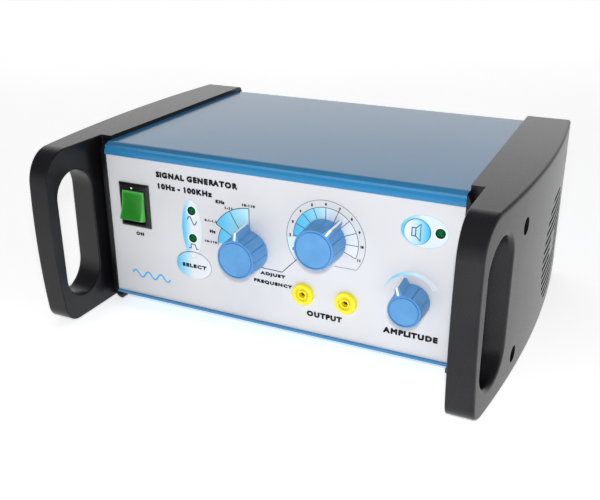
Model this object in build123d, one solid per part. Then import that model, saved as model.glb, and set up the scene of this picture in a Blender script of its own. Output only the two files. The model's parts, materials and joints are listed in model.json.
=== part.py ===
from build123d import *
import os
from math import atan2, degrees, radians, sqrt, tan

# Bench function generator: a blue metal case between two black moulded cheeks whose front ends
# are carrying handles.  Units are millimetres.  While the pieces are drawn, X = 0 is the middle of
# the case, Y = 0 is the face of the front panel (-Y is the user's side) and Z = 0 is the bench top.
# save() then moves each piece so that the origin is under the middle of the whole object.

# ---- driving dimensions --------------------------------------------------------------------------
CASE_HALF_WIDTH = 121.0        # the case fits between the cheeks' inner faces
CASE_BOTTOM = 6.8
CASE_TOP = 117.3
CASE_FRONT = -1.5              # front of the lips that frame the front panel
CASE_REAR = 185.4
SHEET = 2.0                    # wall of the two covers
FRAME_SHEET = 1.5
TOP_CORNER = 7.0               # outside radius of the top cover's long edges
BOTTOM_CORNER = 3.0
PANEL_BOTTOM = 10.0            # visible height of the front panel
PANEL_TOP = 109.8
PANEL_SHEET = 1.5
OVERLAY_SHEET = 0.3
PANEL_BACK = OVERLAY_SHEET + PANEL_SHEET
REAR_PANEL_FACE = 183.9

CHEEK_TOP = 120.1
CHEEK_BOTTOM = 1.5
CHEEK_REAR = 187.6
CHEEK_STEP = 6.8               # the handle steps outwards from here to the front
HANDLE_INNER_X = 128.5
HANDLE_FRONT = -51.1
BOW_RADIUS = 440.0             # side view: slight bow of the handle's front
BOW_HEIGHT = 77.0
BULGE_X = 155.9                # plan view: widest point of the outer face at half height
BULGE_Y = 102.0
BULGE_RADIUS = 930.0
CHEEK_LEAN = 0.8               # the outer face leans in by this many degrees towards the top
CHEEK_WALL = 3.0
CHEEK_LEDGE = 3.6              # the rim reaches this far under the case
CHEEK_RIM = 2.8                # thin edge that wraps the end of the case
HANDLE_EDGE = 0.8              # rounding of the handle's inner edges
GRIP_HEIGHT = 60.2             # middle of the grip slot above the bench
GRIP_HALF_HEIGHT = 43.8
GRIP_INNER = (-25.4, 16.6)     # centre Y and half width at the inner face
GRIP_OUTER = (-21.0, 17.5)     # the slot leans back a little towards the outside
GRILLE_Y = 122.0
GRILLE_Z = 48.7
GRILLE_RADIUS = 38.5
GRILLE_HUB = 10.5
GRILLE_PITCH = 5.8
GRILLE_SLOT = 2.7
GRILLE_ROWS_EACH_SIDE = 6      # above and below the middle row
CHEEK_SCREW_SPOTS = [(17.0, 97.4), (17.0, 15.9), (172.0, 97.4), (172.0, 15.9)]
CHEEK_SCREW_SEAT = 141.0
CHEEK_SCREW_LENGTH = 26.0

SWITCH_X, SWITCH_Z = -100.3, 76.45
SWITCH_BEZEL = (23.5, 30.6, 2.2)
SWITCH_BEVEL = 1.3
SWITCH_BODY = (20.4, 27.2, 22.0)
ROCKER_TILT = 15.0             # the rocker rests this far to either side of its middle
ROCKER_PIVOT_Y, ROCKER_PIVOT_Z = 2.0, 75.5
ROCKER_HALF_WIDTH = 8.4
ROCKER_HALF_HEIGHT = 9.9

RANGE_X, RANGE_Z, RANGE_POINTER = -14.6, 59.4, 90.0
FREQUENCY_X, FREQUENCY_Z, FREQUENCY_POINTER = 38.0, 75.6, 53.5
AMPLITUDE_X, AMPLITUDE_Z, AMPLITUDE_POINTER = 94.2, 46.9, 111.0
KNOB_GAP = 1.0                 # air between a knob's skirt and the panel
LARGE_KNOB = dict(base=13.7, face=12.7, length=17.4, reach=18.5, recess=9.6, grooves=12)
SMALL_KNOB = dict(base=11.0, face=10.2, length=15.8, reach=15.8, recess=7.8, grooves=8)
KNOB_RIM = 0.95                # width of the rim round the knob's face
KNOB_CHANNEL = 0.8             # width and depth of the channel between the rim and the face
GROOVE_DEPTH = 0.5             # fine grooves down the side, the pointer in place of one
POINTER_HEEL = (1.2, 2.2)      # corner cut off the foot of the pointer blade
MARKER_HALF_WIDTH = 0.6
SHAFT_RADIUS = 3.0
BUSHING_RADIUS = 4.4
CONTROL_RADIUS = 12.0          # body of a potentiometer or of the rotary switch

SELECT_X, SELECT_Z = -56.6, 40.5
SELECT_HALF = (13.3, 9.7)
SPEAKER_KEY_X, SPEAKER_KEY_Z, SPEAKER_KEY_RADIUS = 94.4, 90.5, 7.7
KEY_PROUD = 0.8
LED_SPOTS = [(-56.3, 79.2), (-56.3, 60.1), (107.9, 91.5)]
LED_RADIUS = 2.6
LED_BEZEL_RADIUS = 2.9

SOCKET_LEFT_X, SOCKET_RIGHT_X, SOCKET_Z = 23.7, 52.5, 36.3
SOCKET_FLANGE_RADIUS = 7.2
SOCKET_BODY_RADIUS = 5.9
SOCKET_CONTACT_RADIUS = 3.0
SOCKET_BORE_RADIUS = 2.0

CONTROL_BOARD_Y = 13.0
BOARD_SHEET = 1.6
MAIN_BOARD_Z = 18.0
MAIN_BOARD = (-30.0, 88.0, 45.0, 160.0)      # x0, x1, y0, y1

FLANGE_SCREW_X = 112.0         # side frame flanges to the covers
TOP_FLANGE_SCREW_Y = (30, 150)
BOTTOM_FLANGE_SCREW_Y = (50, 140)
FOOT_X, FOOT_Y = 92.0, (34.0, 156.0)

INLET_X, INLET_Z = -78.0, 62.0
SPEAKER_RADIUS = 33.0
TRANSFORMER_X, TRANSFORMER_Y = -70.0, 105.0

ORIGIN_Y = (HANDLE_FRONT + CHEEK_REAR) / 2.0


# ---- drawing helpers -----------------------------------------------------------------------------
def block(x0, x1, y0, y1, z0, z1):
    """Rectangular block between two corners."""
    size = (x1 - x0, y1 - y0, z1 - z0)
    return Pos((x0 + x1) / 2, (y0 + y1) / 2, (z0 + z1) / 2) * Box(*size)


def rod(axis, centre, radius, start, end):
    """Round rod along X, Y or Z between two positions on that axis."""
    a, b = centre
    middle = (start + end) / 2
    place = {
        "x": Pos(middle, a, b) * Rot(0, 90, 0),
        "y": Pos(a, middle, b) * Rot(90, 0, 0),
        "z": Pos(a, b, middle),
    }[axis]
    return place * Cylinder(radius, end - start)


def ring(axis, centre, outer, inner, start, end):
    """Round tube along X, Y or Z."""
    return rod(axis, centre, outer, start, end) - rod(axis, centre, inner, start - 1, end + 1)


def hex_nut(centre, across_flats, bore, start, end):
    """Hexagon nut with its axis along Y."""
    outline = RegularPolygon(across_flats / 2, 6, major_radius=False)
    nut = extrude(Plane(origin=(centre[0], end, centre[1]), z_dir=(0, -1, 0)) * outline, end - start)
    return nut - rod("y", centre, bore, start - 1, end + 1)


def pan_screw(spot, heading, shank, length, head, head_height):
    """Pan-head screw: spot is under the head, heading the way the shank points."""
    seat = Plane(origin=spot, z_dir=heading)
    base = (Align.CENTER, Align.CENTER, Align.MIN)
    top = (Align.CENTER, Align.CENTER, Align.MAX)
    body = seat * Cylinder(shank, length, align=base) + seat * Cylinder(head, head_height, align=top)
    slot = seat * Pos(0, 0, -head_height) * Box(head * 1.3, head * 0.28, head_height * 0.9)
    return body - slot


def m3_screw(spot, heading, length=8.0):
    return pan_screw(spot, heading, 1.4, length, 2.8, 1.9)


def ellipse_plug(x, z, half_x, half_z, y0, y1):
    """Elliptic plug with its axis along Y."""
    plane = Plane(origin=(x, y1, z), x_dir=(1, 0, 0), z_dir=(0, -1, 0))
    return extrude(plane * Ellipse(half_x, half_z), y1 - y0)


def wire(points, radius):
    """Insulated wire along straight runs that are joined by arcs as large as the runs allow."""
    corner = min(bend_radius(*points[i - 1:i + 2]) for i in range(1, len(points) - 1))
    path = FilletPolyline(*points, radius=corner)
    start = Plane(origin=path @ 0, z_dir=path % 0)
    return sweep(start * Circle(radius), path=path)


def bend_radius(before, point, after):
    """Largest tangent arc at a corner that leaves a tenth of the shorter run straight."""
    first = Vector(*point) - Vector(*before)
    second = Vector(*after) - Vector(*point)
    half_turn = radians(first.get_angle(second)) / 2
    return 0.45 * min(first.length, second.length) / tan(half_turn)


def save(node, shape):
    """Write one sub-part as a STEP file in the object's own frame."""
    solids = [Pos(0, -ORIGIN_Y, 0) * solid for solid in shape.solids()]
    placed = solids[0] if len(solids) == 1 else Compound(children=solids)
    export_step(placed, f"parts/{node}.step")


def joined(pieces):
    """Several separate solids that share one node."""
    return Compound(children=[solid for piece in pieces for solid in piece.solids()])


# ---- cheeks --------------------------------------------------------------------------------------
def bow_y(z):
    """Front face of the handle in side view."""
    return HANDLE_FRONT + BOW_RADIUS - sqrt(BOW_RADIUS ** 2 - (z - BOW_HEIGHT) ** 2)


def bulge_x(y, inset=0.0):
    """Outer face of the cheek in plan view at half height."""
    radius = BULGE_RADIUS - inset
    return BULGE_X - BULGE_RADIUS + sqrt(radius ** 2 - (y - BULGE_Y) ** 2)


def bulging_block(x0, y0, y1, inset):
    """Block from a flat inner plane out to the bulging, slightly leaning outer face."""
    near, far = (bulge_x(y0, inset), y0), (bulge_x(y1, inset), y1)
    edge = ThreePointArc(near, (BULGE_X - inset, BULGE_Y), far)
    edge += Polyline(far, (x0, y1), (x0, y0), near)
    height = CHEEK_TOP + 40
    upright = extrude(Pos(0, 0, -height / 2) * make_face(edge), height)
    middle = (CHEEK_TOP + CHEEK_BOTTOM) / 2
    return Pos(BULGE_X, 0, middle) * Rot(0, -CHEEK_LEAN, 0) * Pos(-BULGE_X, 0, 0) * upright


def cheek_side_block():
    """Side outline of the cheek, extruded across its thickness."""
    low = (bow_y(CHEEK_BOTTOM), CHEEK_BOTTOM)
    high = (bow_y(CHEEK_TOP), CHEEK_TOP)
    rear_low = (CHEEK_REAR, CHEEK_BOTTOM)
    rear_high = (CHEEK_REAR, CHEEK_TOP)
    edge = ThreePointArc(low, (HANDLE_FRONT, BOW_HEIGHT), high)
    edge += Line(high, rear_high)
    edge += Line(rear_high, rear_low)
    edge += Line(rear_low, low)
    outline = make_face(edge)
    for radius, spot in ((21.0, high), (12.0, low), (5.0, rear_high), (5.0, rear_low)):
        corner = outline.vertices().sort_by_distance((spot[0], spot[1], 0))[0]
        outline = fillet(corner, radius)
    return extrude(Plane.YZ * outline, BULGE_X + 5)


def grip_slot():
    """Stadium-shaped finger opening that leans back towards the outer face."""
    sections = []
    for x, (centre_y, half_width) in ((HANDLE_INNER_X - 0.5, GRIP_INNER), (BULGE_X, GRIP_OUTER)):
        plane = Plane(origin=(x, centre_y, GRIP_HEIGHT), x_dir=(0, 0, 1), z_dir=(1, 0, 0))
        sections.append(plane * SlotOverall(2 * GRIP_HALF_HEIGHT, 2 * half_width))
    return loft(sections)


def grille_slots():
    """Horizontal air slots inside a circle, with a solid hub in the middle."""
    centre = (GRILLE_Y, GRILLE_Z)
    field = rod("x", centre, GRILLE_RADIUS, BULGE_X - 12, BULGE_X + 2)
    field -= rod("x", centre, GRILLE_HUB, BULGE_X - 15, BULGE_X + 5)
    bars = []
    for row in range(-GRILLE_ROWS_EACH_SIDE, GRILLE_ROWS_EACH_SIDE + 1):
        z = GRILLE_Z + row * GRILLE_PITCH
        bars.append(block(BULGE_X - 20, BULGE_X + 5, 80, 180, z - GRILLE_SLOT / 2, z + GRILLE_SLOT / 2))
    return field & Compound(children=bars)


def cheek_cavity():
    """Hollow behind the outer wall, open towards the case."""
    hollow = bulging_block(100, CHEEK_STEP + 5, CHEEK_REAR - CHEEK_WALL, CHEEK_WALL)
    hollow &= block(CASE_HALF_WIDTH - 1, BULGE_X, 0, CHEEK_REAR, CASE_BOTTOM, CHEEK_TOP - CHEEK_WALL)
    for spot in CHEEK_SCREW_SPOTS:
        hollow -= rod("x", spot, 8.0, CASE_HALF_WIDTH - 2, BULGE_X)
    return hollow


def outer_face(cheek):
    return cheek.faces().filter_by(GeomType.CYLINDER).sort_by(SortBy.AREA)[-1]


def inner_edges(cheek):
    """Edges round the handle's flat inner face and round the grip slot in it."""
    flats = cheek.faces().filter_by(Axis.X).filter_by(lambda f: abs(f.center().X - HANDLE_INNER_X) < 0.01)
    return flats.sort_by(SortBy.AREA)[-1].edges()


def cheek_rim():
    """Thin edge of the cheek that wraps the end of the case in front of the step."""
    rim = block(90, CASE_HALF_WIDTH + CHEEK_RIM, CASE_FRONT, CHEEK_STEP + 1,
                CASE_BOTTOM - CHEEK_RIM, CASE_TOP + CHEEK_RIM)
    low, high = rim.edges().filter_by(Axis.Y).group_by(Axis.X)[-1].sort_by(Axis.Z)
    rim = fillet(high, TOP_CORNER + CHEEK_RIM)
    low = rim.edges().filter_by(Axis.Y).sort_by_distance(low.center())[0]
    rim = fillet(low, BOTTOM_CORNER + CHEEK_RIM)
    rim -= block(80, CASE_HALF_WIDTH, -10, 20, CASE_BOTTOM, 130)
    return rim - block(80, CASE_HALF_WIDTH - CHEEK_LEDGE, -10, 20, 0, 20)


def right_cheek_solid():
    cheek = bulging_block(100, HANDLE_FRONT - 5, CHEEK_REAR + 5, 0) & cheek_side_block()
    cheek -= block(90, CASE_HALF_WIDTH, -100, 200, -10, 200)
    cheek -= block(90, HANDLE_INNER_X, -100, CHEEK_STEP, -10, 200)
    cheek -= grip_slot()
    cheek = fillet(outer_face(cheek).outer_wire().edges(), 2.0)
    cheek = fillet(outer_face(cheek).inner_wires().edges(), 3.0)
    cheek = fillet(inner_edges(cheek), HANDLE_EDGE)
    cheek += block(CASE_HALF_WIDTH - CHEEK_LEDGE, CASE_HALF_WIDTH + 4, CHEEK_STEP, CHEEK_REAR - 5,
                   CASE_BOTTOM - CHEEK_RIM, CASE_BOTTOM)
    cheek += cheek_rim()
    cheek -= cheek_cavity()
    cheek -= grille_slots()
    for spot in CHEEK_SCREW_SPOTS:
        cheek -= rod("x", spot, 5.2, CHEEK_SCREW_SEAT, BULGE_X + 2)
        cheek -= rod("x", spot, 2.15, CASE_HALF_WIDTH - 2, CHEEK_SCREW_SEAT + 1)
    return cheek


def cheek_screws():
    screws = []
    for side in (1, -1):
        for y, z in CHEEK_SCREW_SPOTS:
            spot = (side * CHEEK_SCREW_SEAT, y, z)
            screws.append(pan_screw(spot, (-side, 0, 0), 2.0, CHEEK_SCREW_LENGTH, 4.2, 2.6))
    return joined(screws)


def frame_nuts():
    """Nuts behind the side frames for the cheek screws."""
    inner = CASE_HALF_WIDTH - FRAME_SHEET
    nuts = []
    for side in (1, -1):
        for y, z in CHEEK_SCREW_SPOTS:
            seat = Plane(origin=(side * inner, y, z), z_dir=(-side, 0, 0))
            nut = extrude(seat * RegularPolygon(3.5, 6, major_radius=False), 3.2)
            near, far = sorted((side * (inner - 5), side * (inner + 1)))
            nuts.append(nut - rod("x", (y, z), 2.1, near, far))
    return joined(nuts)


# ---- case ----------------------------------------------------------------------------------------
def cover_section(outer_z, lip_z, corner):
    """Side section of a cover: a flat sheet whose long edges turn into lips for the panels."""
    up = 1 if lip_z > outer_z else -1
    inner_z = outer_z + up * SHEET
    shell = block(-CASE_HALF_WIDTH, CASE_HALF_WIDTH, CASE_FRONT, CASE_REAR, *sorted((outer_z, lip_z)))
    long_edges = [
        edge for edge in shell.edges().filter_by(Axis.X) if abs(edge.center().Z - outer_z) < 0.1
    ]
    shell = fillet(long_edges, corner)
    return shell - block(-CASE_HALF_WIDTH - 1, CASE_HALF_WIDTH + 1, 0.0, REAR_PANEL_FACE,
                         *sorted((inner_z, lip_z + up)))


def panel_rib(y0, y1, z0, z1):
    """Rib behind a panel: with the lip in front it makes the groove that holds the panel."""
    return block(-CASE_HALF_WIDTH, CASE_HALF_WIDTH, y0, y1, z0, z1)


def top_cover():
    cover = cover_section(CASE_TOP, PANEL_TOP, TOP_CORNER)
    lid = CASE_TOP - SHEET
    cover += block(-CASE_HALF_WIDTH, CASE_HALF_WIDTH, -0.2, 4.5, lid - 1.5, lid + 0.5)
    cover += block(-CASE_HALF_WIDTH, CASE_HALF_WIDTH, REAR_PANEL_FACE - 4.5, REAR_PANEL_FACE + 0.2,
                   lid - 1.5, lid + 0.5)
    cover += panel_rib(PANEL_BACK + 0.1, PANEL_BACK + 1.6, PANEL_TOP, lid)
    cover += panel_rib(REAR_PANEL_FACE - 3.1, REAR_PANEL_FACE - 1.6, PANEL_TOP, lid)
    for x in (-FLANGE_SCREW_X, FLANGE_SCREW_X):
        for y in TOP_FLANGE_SCREW_Y:
            cover -= rod("z", (x, y), 1.5, lid - 1, lid + 1.2)
    return cover


def bottom_cover():
    cover = cover_section(CASE_BOTTOM, PANEL_BOTTOM, BOTTOM_CORNER)
    floor = CASE_BOTTOM + SHEET
    cover += panel_rib(PANEL_BACK + 0.1, PANEL_BACK + 1.6, floor, PANEL_BOTTOM + 1)
    cover += panel_rib(REAR_PANEL_FACE - 3.1, REAR_PANEL_FACE - 1.6, floor, PANEL_BOTTOM + 1)
    for x, y in foot_spots():
        cover -= rod("z", (x, y), 1.5, CASE_BOTTOM - 1, floor + 1)
    for x, y in main_standoff_spots():
        cover -= rod("z", (x, y), 1.5, CASE_BOTTOM - 1, floor + 1)
    for x in (-FLANGE_SCREW_X, FLANGE_SCREW_X):
        for y in BOTTOM_FLANGE_SCREW_Y:
            cover -= rod("z", (x, y), 1.5, CASE_BOTTOM - 1, floor + 1)
    for x in transformer_screw_x():
        cover -= rod("z", (x, TRANSFORMER_Y), 1.5, CASE_BOTTOM - 1, floor + 1)
    vents = [
        block(x, x + 2.5, 50, 90, CASE_BOTTOM - 1, floor + 1)
        for x in range(-20, 80, 8)
    ]
    return cover - Compound(children=vents)


def panel_openings(y0, y1):
    """Everything that comes through the front panel."""
    cuts = [block(SWITCH_X - 10.4, SWITCH_X + 10.4, y0, y1, SWITCH_Z - 13.8, SWITCH_Z + 13.8)]
    for x, z in knob_spots():
        cuts.append(rod("y", (x, z), BUSHING_RADIUS + 0.15, y0, y1))
    for x, z in LED_SPOTS:
        cuts.append(rod("y", (x, z), LED_BEZEL_RADIUS + 0.1, y0, y1))
    for x in (SOCKET_LEFT_X, SOCKET_RIGHT_X):
        cuts.append(rod("y", (x, SOCKET_Z), SOCKET_BODY_RADIUS + 0.1, y0, y1))
    cuts.append(ellipse_plug(SELECT_X, SELECT_Z, SELECT_HALF[0] + 0.3, SELECT_HALF[1] + 0.3, y0, y1))
    cuts.append(rod("y", (SPEAKER_KEY_X, SPEAKER_KEY_Z), SPEAKER_KEY_RADIUS + 0.3, y0, y1))
    return Compound(children=cuts)


def front_panel():
    sheet = block(-CASE_HALF_WIDTH, CASE_HALF_WIDTH, OVERLAY_SHEET, PANEL_BACK,
                  CASE_BOTTOM + SHEET, CASE_TOP - SHEET - 1.5)
    return sheet - panel_openings(-1, PANEL_BACK + 1)


def panel_overlay():
    sheet = block(-CASE_HALF_WIDTH, CASE_HALF_WIDTH, 0.0, OVERLAY_SHEET, PANEL_BOTTOM, PANEL_TOP)
    return sheet - panel_openings(-1, 1)


def rear_panel():
    sheet = block(-CASE_HALF_WIDTH, CASE_HALF_WIDTH, REAR_PANEL_FACE - PANEL_SHEET,
                  REAR_PANEL_FACE, CASE_BOTTOM + SHEET, CASE_TOP - SHEET - 1.5)
    sheet -= block(INLET_X - 14, INLET_X + 14, 150, 190, INLET_Z - 18.5, INLET_Z + 18.5)
    for z in (INLET_Z - 22, INLET_Z + 22):
        sheet -= rod("y", (INLET_X, z), 1.5, 150, 190)
    slots = [
        block(x, x + 3, 170, 190, 40, 85)
        for x in range(20, 100, 8)
    ]
    return sheet - Compound(children=slots)


def side_frame(side):
    """Folded steel channel that closes one side of the case and carries the covers."""
    face = side * CASE_HALF_WIDTH
    inside = side * (CASE_HALF_WIDTH - FRAME_SHEET)
    lip = side * (CASE_HALF_WIDTH - 14)
    floor = CASE_BOTTOM + SHEET
    lid = CASE_TOP - SHEET
    x0, x1 = sorted((face, inside))
    f0, f1 = sorted((inside, lip))
    plate = block(x0, x1, 6, 178, floor, lid)
    plate += block(f0, f1, 6, 178, lid - FRAME_SHEET, lid)
    plate += block(f0, f1, 6, 178, floor, floor + FRAME_SHEET)
    for y in TOP_FLANGE_SCREW_Y:
        plate -= rod("z", (side * FLANGE_SCREW_X, y), 1.6, lid - 3, lid + 1)
    for y in BOTTOM_FLANGE_SCREW_Y:
        plate -= rod("z", (side * FLANGE_SCREW_X, y), 1.6, floor - 1, floor + 3)
    for spot in CHEEK_SCREW_SPOTS:
        plate -= rod("x", spot, 2.3, x0 - 1, x1 + 1)
    plate -= rod("x", (GRILLE_Y, GRILLE_Z), 30.0, x0 - 1, x1 + 1)
    for z in range(40, 100, 12):
        plate -= block(x0 - 1, x1 + 1, 40, 75, z, z + 5)
    return plate


def foot_spots():
    return [(x, y) for x in (-FOOT_X, FOOT_X) for y in FOOT_Y]


def rubber_feet():
    feet = []
    for x, y in foot_spots():
        foot = Pos(x, y, 0) * Cone(9.0, 10.0, CASE_BOTTOM, align=(Align.CENTER, Align.CENTER, Align.MIN))
        foot -= rod("z", (x, y), 3.2, -1, 3.4)
        foot -= rod("z", (x, y), 1.6, -1, CASE_BOTTOM + 1)
        feet.append(foot)
    return joined(feet)


def main_standoff_spots():
    x0, x1, y0, y1 = MAIN_BOARD
    return [(x, y) for x in (x0 + 5, x1 - 5) for y in (y0 + 5, (y0 + y1) / 2, y1 - 5)]


def case_screws():
    """All the M3 screws: feet, board, side frames, transformer and mains inlet."""
    floor = CASE_BOTTOM + SHEET
    lid = CASE_TOP - SHEET
    down, up = (0, 0, -1), (0, 0, 1)
    screws = [m3_screw((x, y, 3.4), up) for x, y in foot_spots()]
    screws += [m3_screw((x, y, MAIN_BOARD_Z + BOARD_SHEET), down) for x, y in main_standoff_spots()]
    for x in (-FLANGE_SCREW_X, FLANGE_SCREW_X):
        screws += [m3_screw((x, y, lid - FRAME_SHEET), up, 2.4) for y in TOP_FLANGE_SCREW_Y]
        screws += [m3_screw((x, y, floor + FRAME_SHEET), down, 3.2) for y in BOTTOM_FLANGE_SCREW_Y]
    screws += [m3_screw((x, TRANSFORMER_Y, floor + 1.2), down, 3.0) for x in transformer_screw_x()]
    for z in (INLET_Z - 22, INLET_Z + 22):
        screws.append(m3_screw((INLET_X, REAR_PANEL_FACE + 1.6, z), (0, -1, 0), 7.0))
    for x, z in control_standoff_spots():
        screws.append(m3_screw((x, CONTROL_BOARD_Y + BOARD_SHEET, z), (0, -1, 0), 6.0))
    return joined(screws)


# ---- mains switch --------------------------------------------------------------------------------
def switch_housing():
    width, height, proud = SWITCH_BEZEL
    x0, x1 = SWITCH_X - width / 2, SWITCH_X + width / 2
    z0, z1 = SWITCH_Z - height / 2, SWITCH_Z + height / 2
    bezel = block(x0, x1, -proud, 0.0, z0, z1)
    bezel = chamfer(bezel.faces().sort_by(Axis.Y)[0].edges(), SWITCH_BEVEL)
    body_width, body_height, depth = SWITCH_BODY
    bezel += block(SWITCH_X - body_width / 2, SWITCH_X + body_width / 2, -0.1, depth,
                   SWITCH_Z - body_height / 2, SWITCH_Z + body_height / 2)
    bezel -= block(SWITCH_X - 8.7, SWITCH_X + 8.7, -proud - 1, 15.0,
                   ROCKER_PIVOT_Z - 11.75, ROCKER_PIVOT_Z + 11.75)
    bezel -= rod("x", (ROCKER_PIVOT_Y, ROCKER_PIVOT_Z), 1.55, SWITCH_X - 9.6, SWITCH_X + 9.6)
    for x in terminal_columns():
        for z in terminal_rows():
            bezel -= block(x - 0.5, x + 0.5, 14, depth + 1, z - 3.25, z + 3.25)
    return bezel


def terminal_columns():
    return (SWITCH_X - 5.5, SWITCH_X + 5.5)


def terminal_rows():
    return (SWITCH_Z - 7.0, SWITCH_Z + 7.0)


def switch_rocker():
    """Rocker with a hollow face, tilted so that its upper end is pressed in."""
    half = ROCKER_HALF_HEIGHT
    tip, hollow = -5.3, -4.0
    edge = Polyline((tip, half), (2.0, half), (6.0, 4.0), (6.0, -4.0), (2.0, -half), (tip, -half))
    edge += ThreePointArc((tip, -half), (hollow, 0.0), (tip, half))
    profile = Plane.YZ * make_face(edge)
    body = extrude(profile, ROCKER_HALF_WIDTH, both=True)
    tips = [e for e in body.edges().filter_by(Axis.X) if e.center().Y < -4]
    body = fillet(tips, 0.7)
    pivot = (ROCKER_PIVOT_Y, 0)
    body += rod("x", pivot, 1.5, -ROCKER_HALF_WIDTH - 1.0, ROCKER_HALF_WIDTH + 1.0)
    axis = Axis((0, ROCKER_PIVOT_Y, 0), (1, 0, 0))
    return Pos(SWITCH_X, 0, ROCKER_PIVOT_Z) * body.rotate(axis, -ROCKER_TILT)


def switch_terminals():
    depth = SWITCH_BODY[2]
    blades = [
        block(x - 0.4, x + 0.4, 14.2, depth + 8, z - 3.15, z + 3.15)
        for x in terminal_columns() for z in terminal_rows()
    ]
    return joined(blades)


# ---- rotary controls -----------------------------------------------------------------------------
def knob_spots():
    return [(RANGE_X, RANGE_Z), (FREQUENCY_X, FREQUENCY_Z), (AMPLITUDE_X, AMPLITUDE_Z)]


def knob_plane(x, z):
    """Local frame of a knob: local Z points at the user, local Y points up."""
    return Plane(origin=(x, -KNOB_GAP, z), x_dir=(1, 0, 0), z_dir=(0, -1, 0))


def fin(size):
    """Pointer blade: full height along its outer edge and narrower towards its tip."""
    base, face, length, reach = size["base"], size["face"], size["length"], size["reach"]
    root = base * 0.6
    crown = length - 0.2
    heel, rise = POINTER_HEEL
    side = Polyline((root, 0), (reach - heel, 0), (reach, rise), (reach - 1.1, length - 1.0),
                    (face - 0.6, crown), (root, crown), close=True)
    plan = Polyline((root, -3.2), (reach, -1.0), (reach, 1.0), (root, 3.2), close=True)
    return extrude(Plane.XZ * make_face(side), 6, both=True) & extrude(make_face(plan), length)


def marker_strip(size):
    """White line let into the front and the outer edge of the pointer blade."""
    face, length, reach = size["face"], size["length"], size["reach"]
    rise = POINTER_HEEL[1]
    route = Polyline((face + 0.1, length - 0.4), (reach - 1.1, length - 1.2), (reach - 0.1, rise))
    return extrude(Plane.XZ * trace(route, 0.9), MARKER_HALF_WIDTH, both=True)


def knob_grooves(size):
    """Cutters for the fine grooves that follow the taper of the knob's side."""
    base, face, length = size["base"], size["face"], size["length"]
    lean = degrees(atan2(base - face, length))
    section = Polyline((-GROOVE_DEPTH, 0), (1, -1.3), (1, 1.3), close=True)
    groove = Pos(base, 0, -1) * Rot(0, -lean, 0) * extrude(make_face(section), length + 2)
    pitch = 360 // size["grooves"]
    return Compound(children=[Rot(0, 0, turn) * groove for turn in range(pitch, 360, pitch)])


def knob(size):
    """Tapered knob: grooved side, pointer blade, hollow underside, channel round its face."""
    base, face, length = size["base"], size["face"], size["length"]
    bottom = (Align.CENTER, Align.CENTER, Align.MIN)
    body = Cone(base, face, length, align=bottom)
    body = fillet(body.edges().sort_by(Axis.Z)[-1], 0.6)
    body = body - knob_grooves(size) + fin(size)
    channel = Cylinder(face - KNOB_RIM, 2, align=bottom)
    channel -= Cylinder(face - KNOB_RIM - KNOB_CHANNEL, 2, align=bottom)
    body -= Pos(0, 0, length - KNOB_CHANNEL) * channel
    body -= Cylinder(size["recess"], 5.0, align=bottom)
    body -= Cylinder(SHAFT_RADIUS + 0.04, length - 3.5, align=bottom)
    return body - marker_strip(size)


def save_control(name, size, x, z, pointer, body_node, body_depth):
    """Knob, white marker, shaft and the switch or potentiometer behind the panel."""
    turned = knob_plane(x, z) * Rot(0, 0, pointer)
    save(f"{name}_knob", turned * knob(size))
    save(f"{name}_marker", turned * marker_strip(size))
    tip = -KNOB_GAP - size["length"] + 3.8
    shaft_end = PANEL_BACK + body_depth - 2.5
    shaft = rod("y", (x, z), SHAFT_RADIUS, tip, shaft_end)
    shaft -= block(x - 4, x + 4, tip - 1, tip + 7, z + 2.2, z + 4)
    save(f"{name}_shaft", shaft)
    body = rod("y", (x, z), CONTROL_RADIUS, PANEL_BACK + 0.3, PANEL_BACK + body_depth)
    body += rod("y", (x, z), BUSHING_RADIUS, -4.4, PANEL_BACK + 0.4)
    body -= rod("y", (x, z), SHAFT_RADIUS + 0.05, -5, shaft_end + 0.4)
    for offset in (-5, 0, 5):
        body += block(x + offset - 0.5, x + offset + 0.5, PANEL_BACK + 4, CONTROL_BOARD_Y - 2.5,
                      z - 15.0, z - 11.0)
    save(body_node, body)


def control_nuts():
    """Nut and washer that clamp each control, hidden inside the knob's hollow underside."""
    nuts = []
    for spot in knob_spots():
        nuts.append(hex_nut(spot, 11.0, BUSHING_RADIUS + 0.1, -2.8, -0.6))
        nuts.append(ring("y", spot, 6.8, BUSHING_RADIUS + 0.1, -0.5, 0.0))
    return joined(nuts)


# ---- keys and lamps ------------------------------------------------------------------------------
def key_stem(x, z):
    return rod("y", (x, z), 2.8, 3.0, 8.0)


def select_key():
    cap = ellipse_plug(SELECT_X, SELECT_Z, SELECT_HALF[0], SELECT_HALF[1], -KEY_PROUD, 3.4)
    cap = fillet(cap.faces().sort_by(Axis.Y)[0].edges(), 0.5)
    cap += ellipse_plug(SELECT_X, SELECT_Z, SELECT_HALF[0] + 1.2, SELECT_HALF[1] + 1.2, 2.1, 3.4)
    return cap + key_stem(SELECT_X, SELECT_Z)


def speaker_key():
    spot = (SPEAKER_KEY_X, SPEAKER_KEY_Z)
    cap = rod("y", spot, SPEAKER_KEY_RADIUS, -KEY_PROUD, 3.4)
    cap = fillet(cap.faces().sort_by(Axis.Y)[0].edges(), 0.5)
    cap += rod("y", spot, SPEAKER_KEY_RADIUS + 1.2, 2.1, 3.4)
    return cap + key_stem(*spot)


def key_switches():
    """Board-mounted push switches; each key's stem reaches into the well of one."""
    switches = []
    for x, z in ((SELECT_X, SELECT_Z), (SPEAKER_KEY_X, SPEAKER_KEY_Z)):
        body = block(x - 6, x + 6, 5.5, CONTROL_BOARD_Y, z - 6, z + 6)
        switches.append(body - rod("y", (x, z), 3.2, 4, 9.2))
    return joined(switches)


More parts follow.
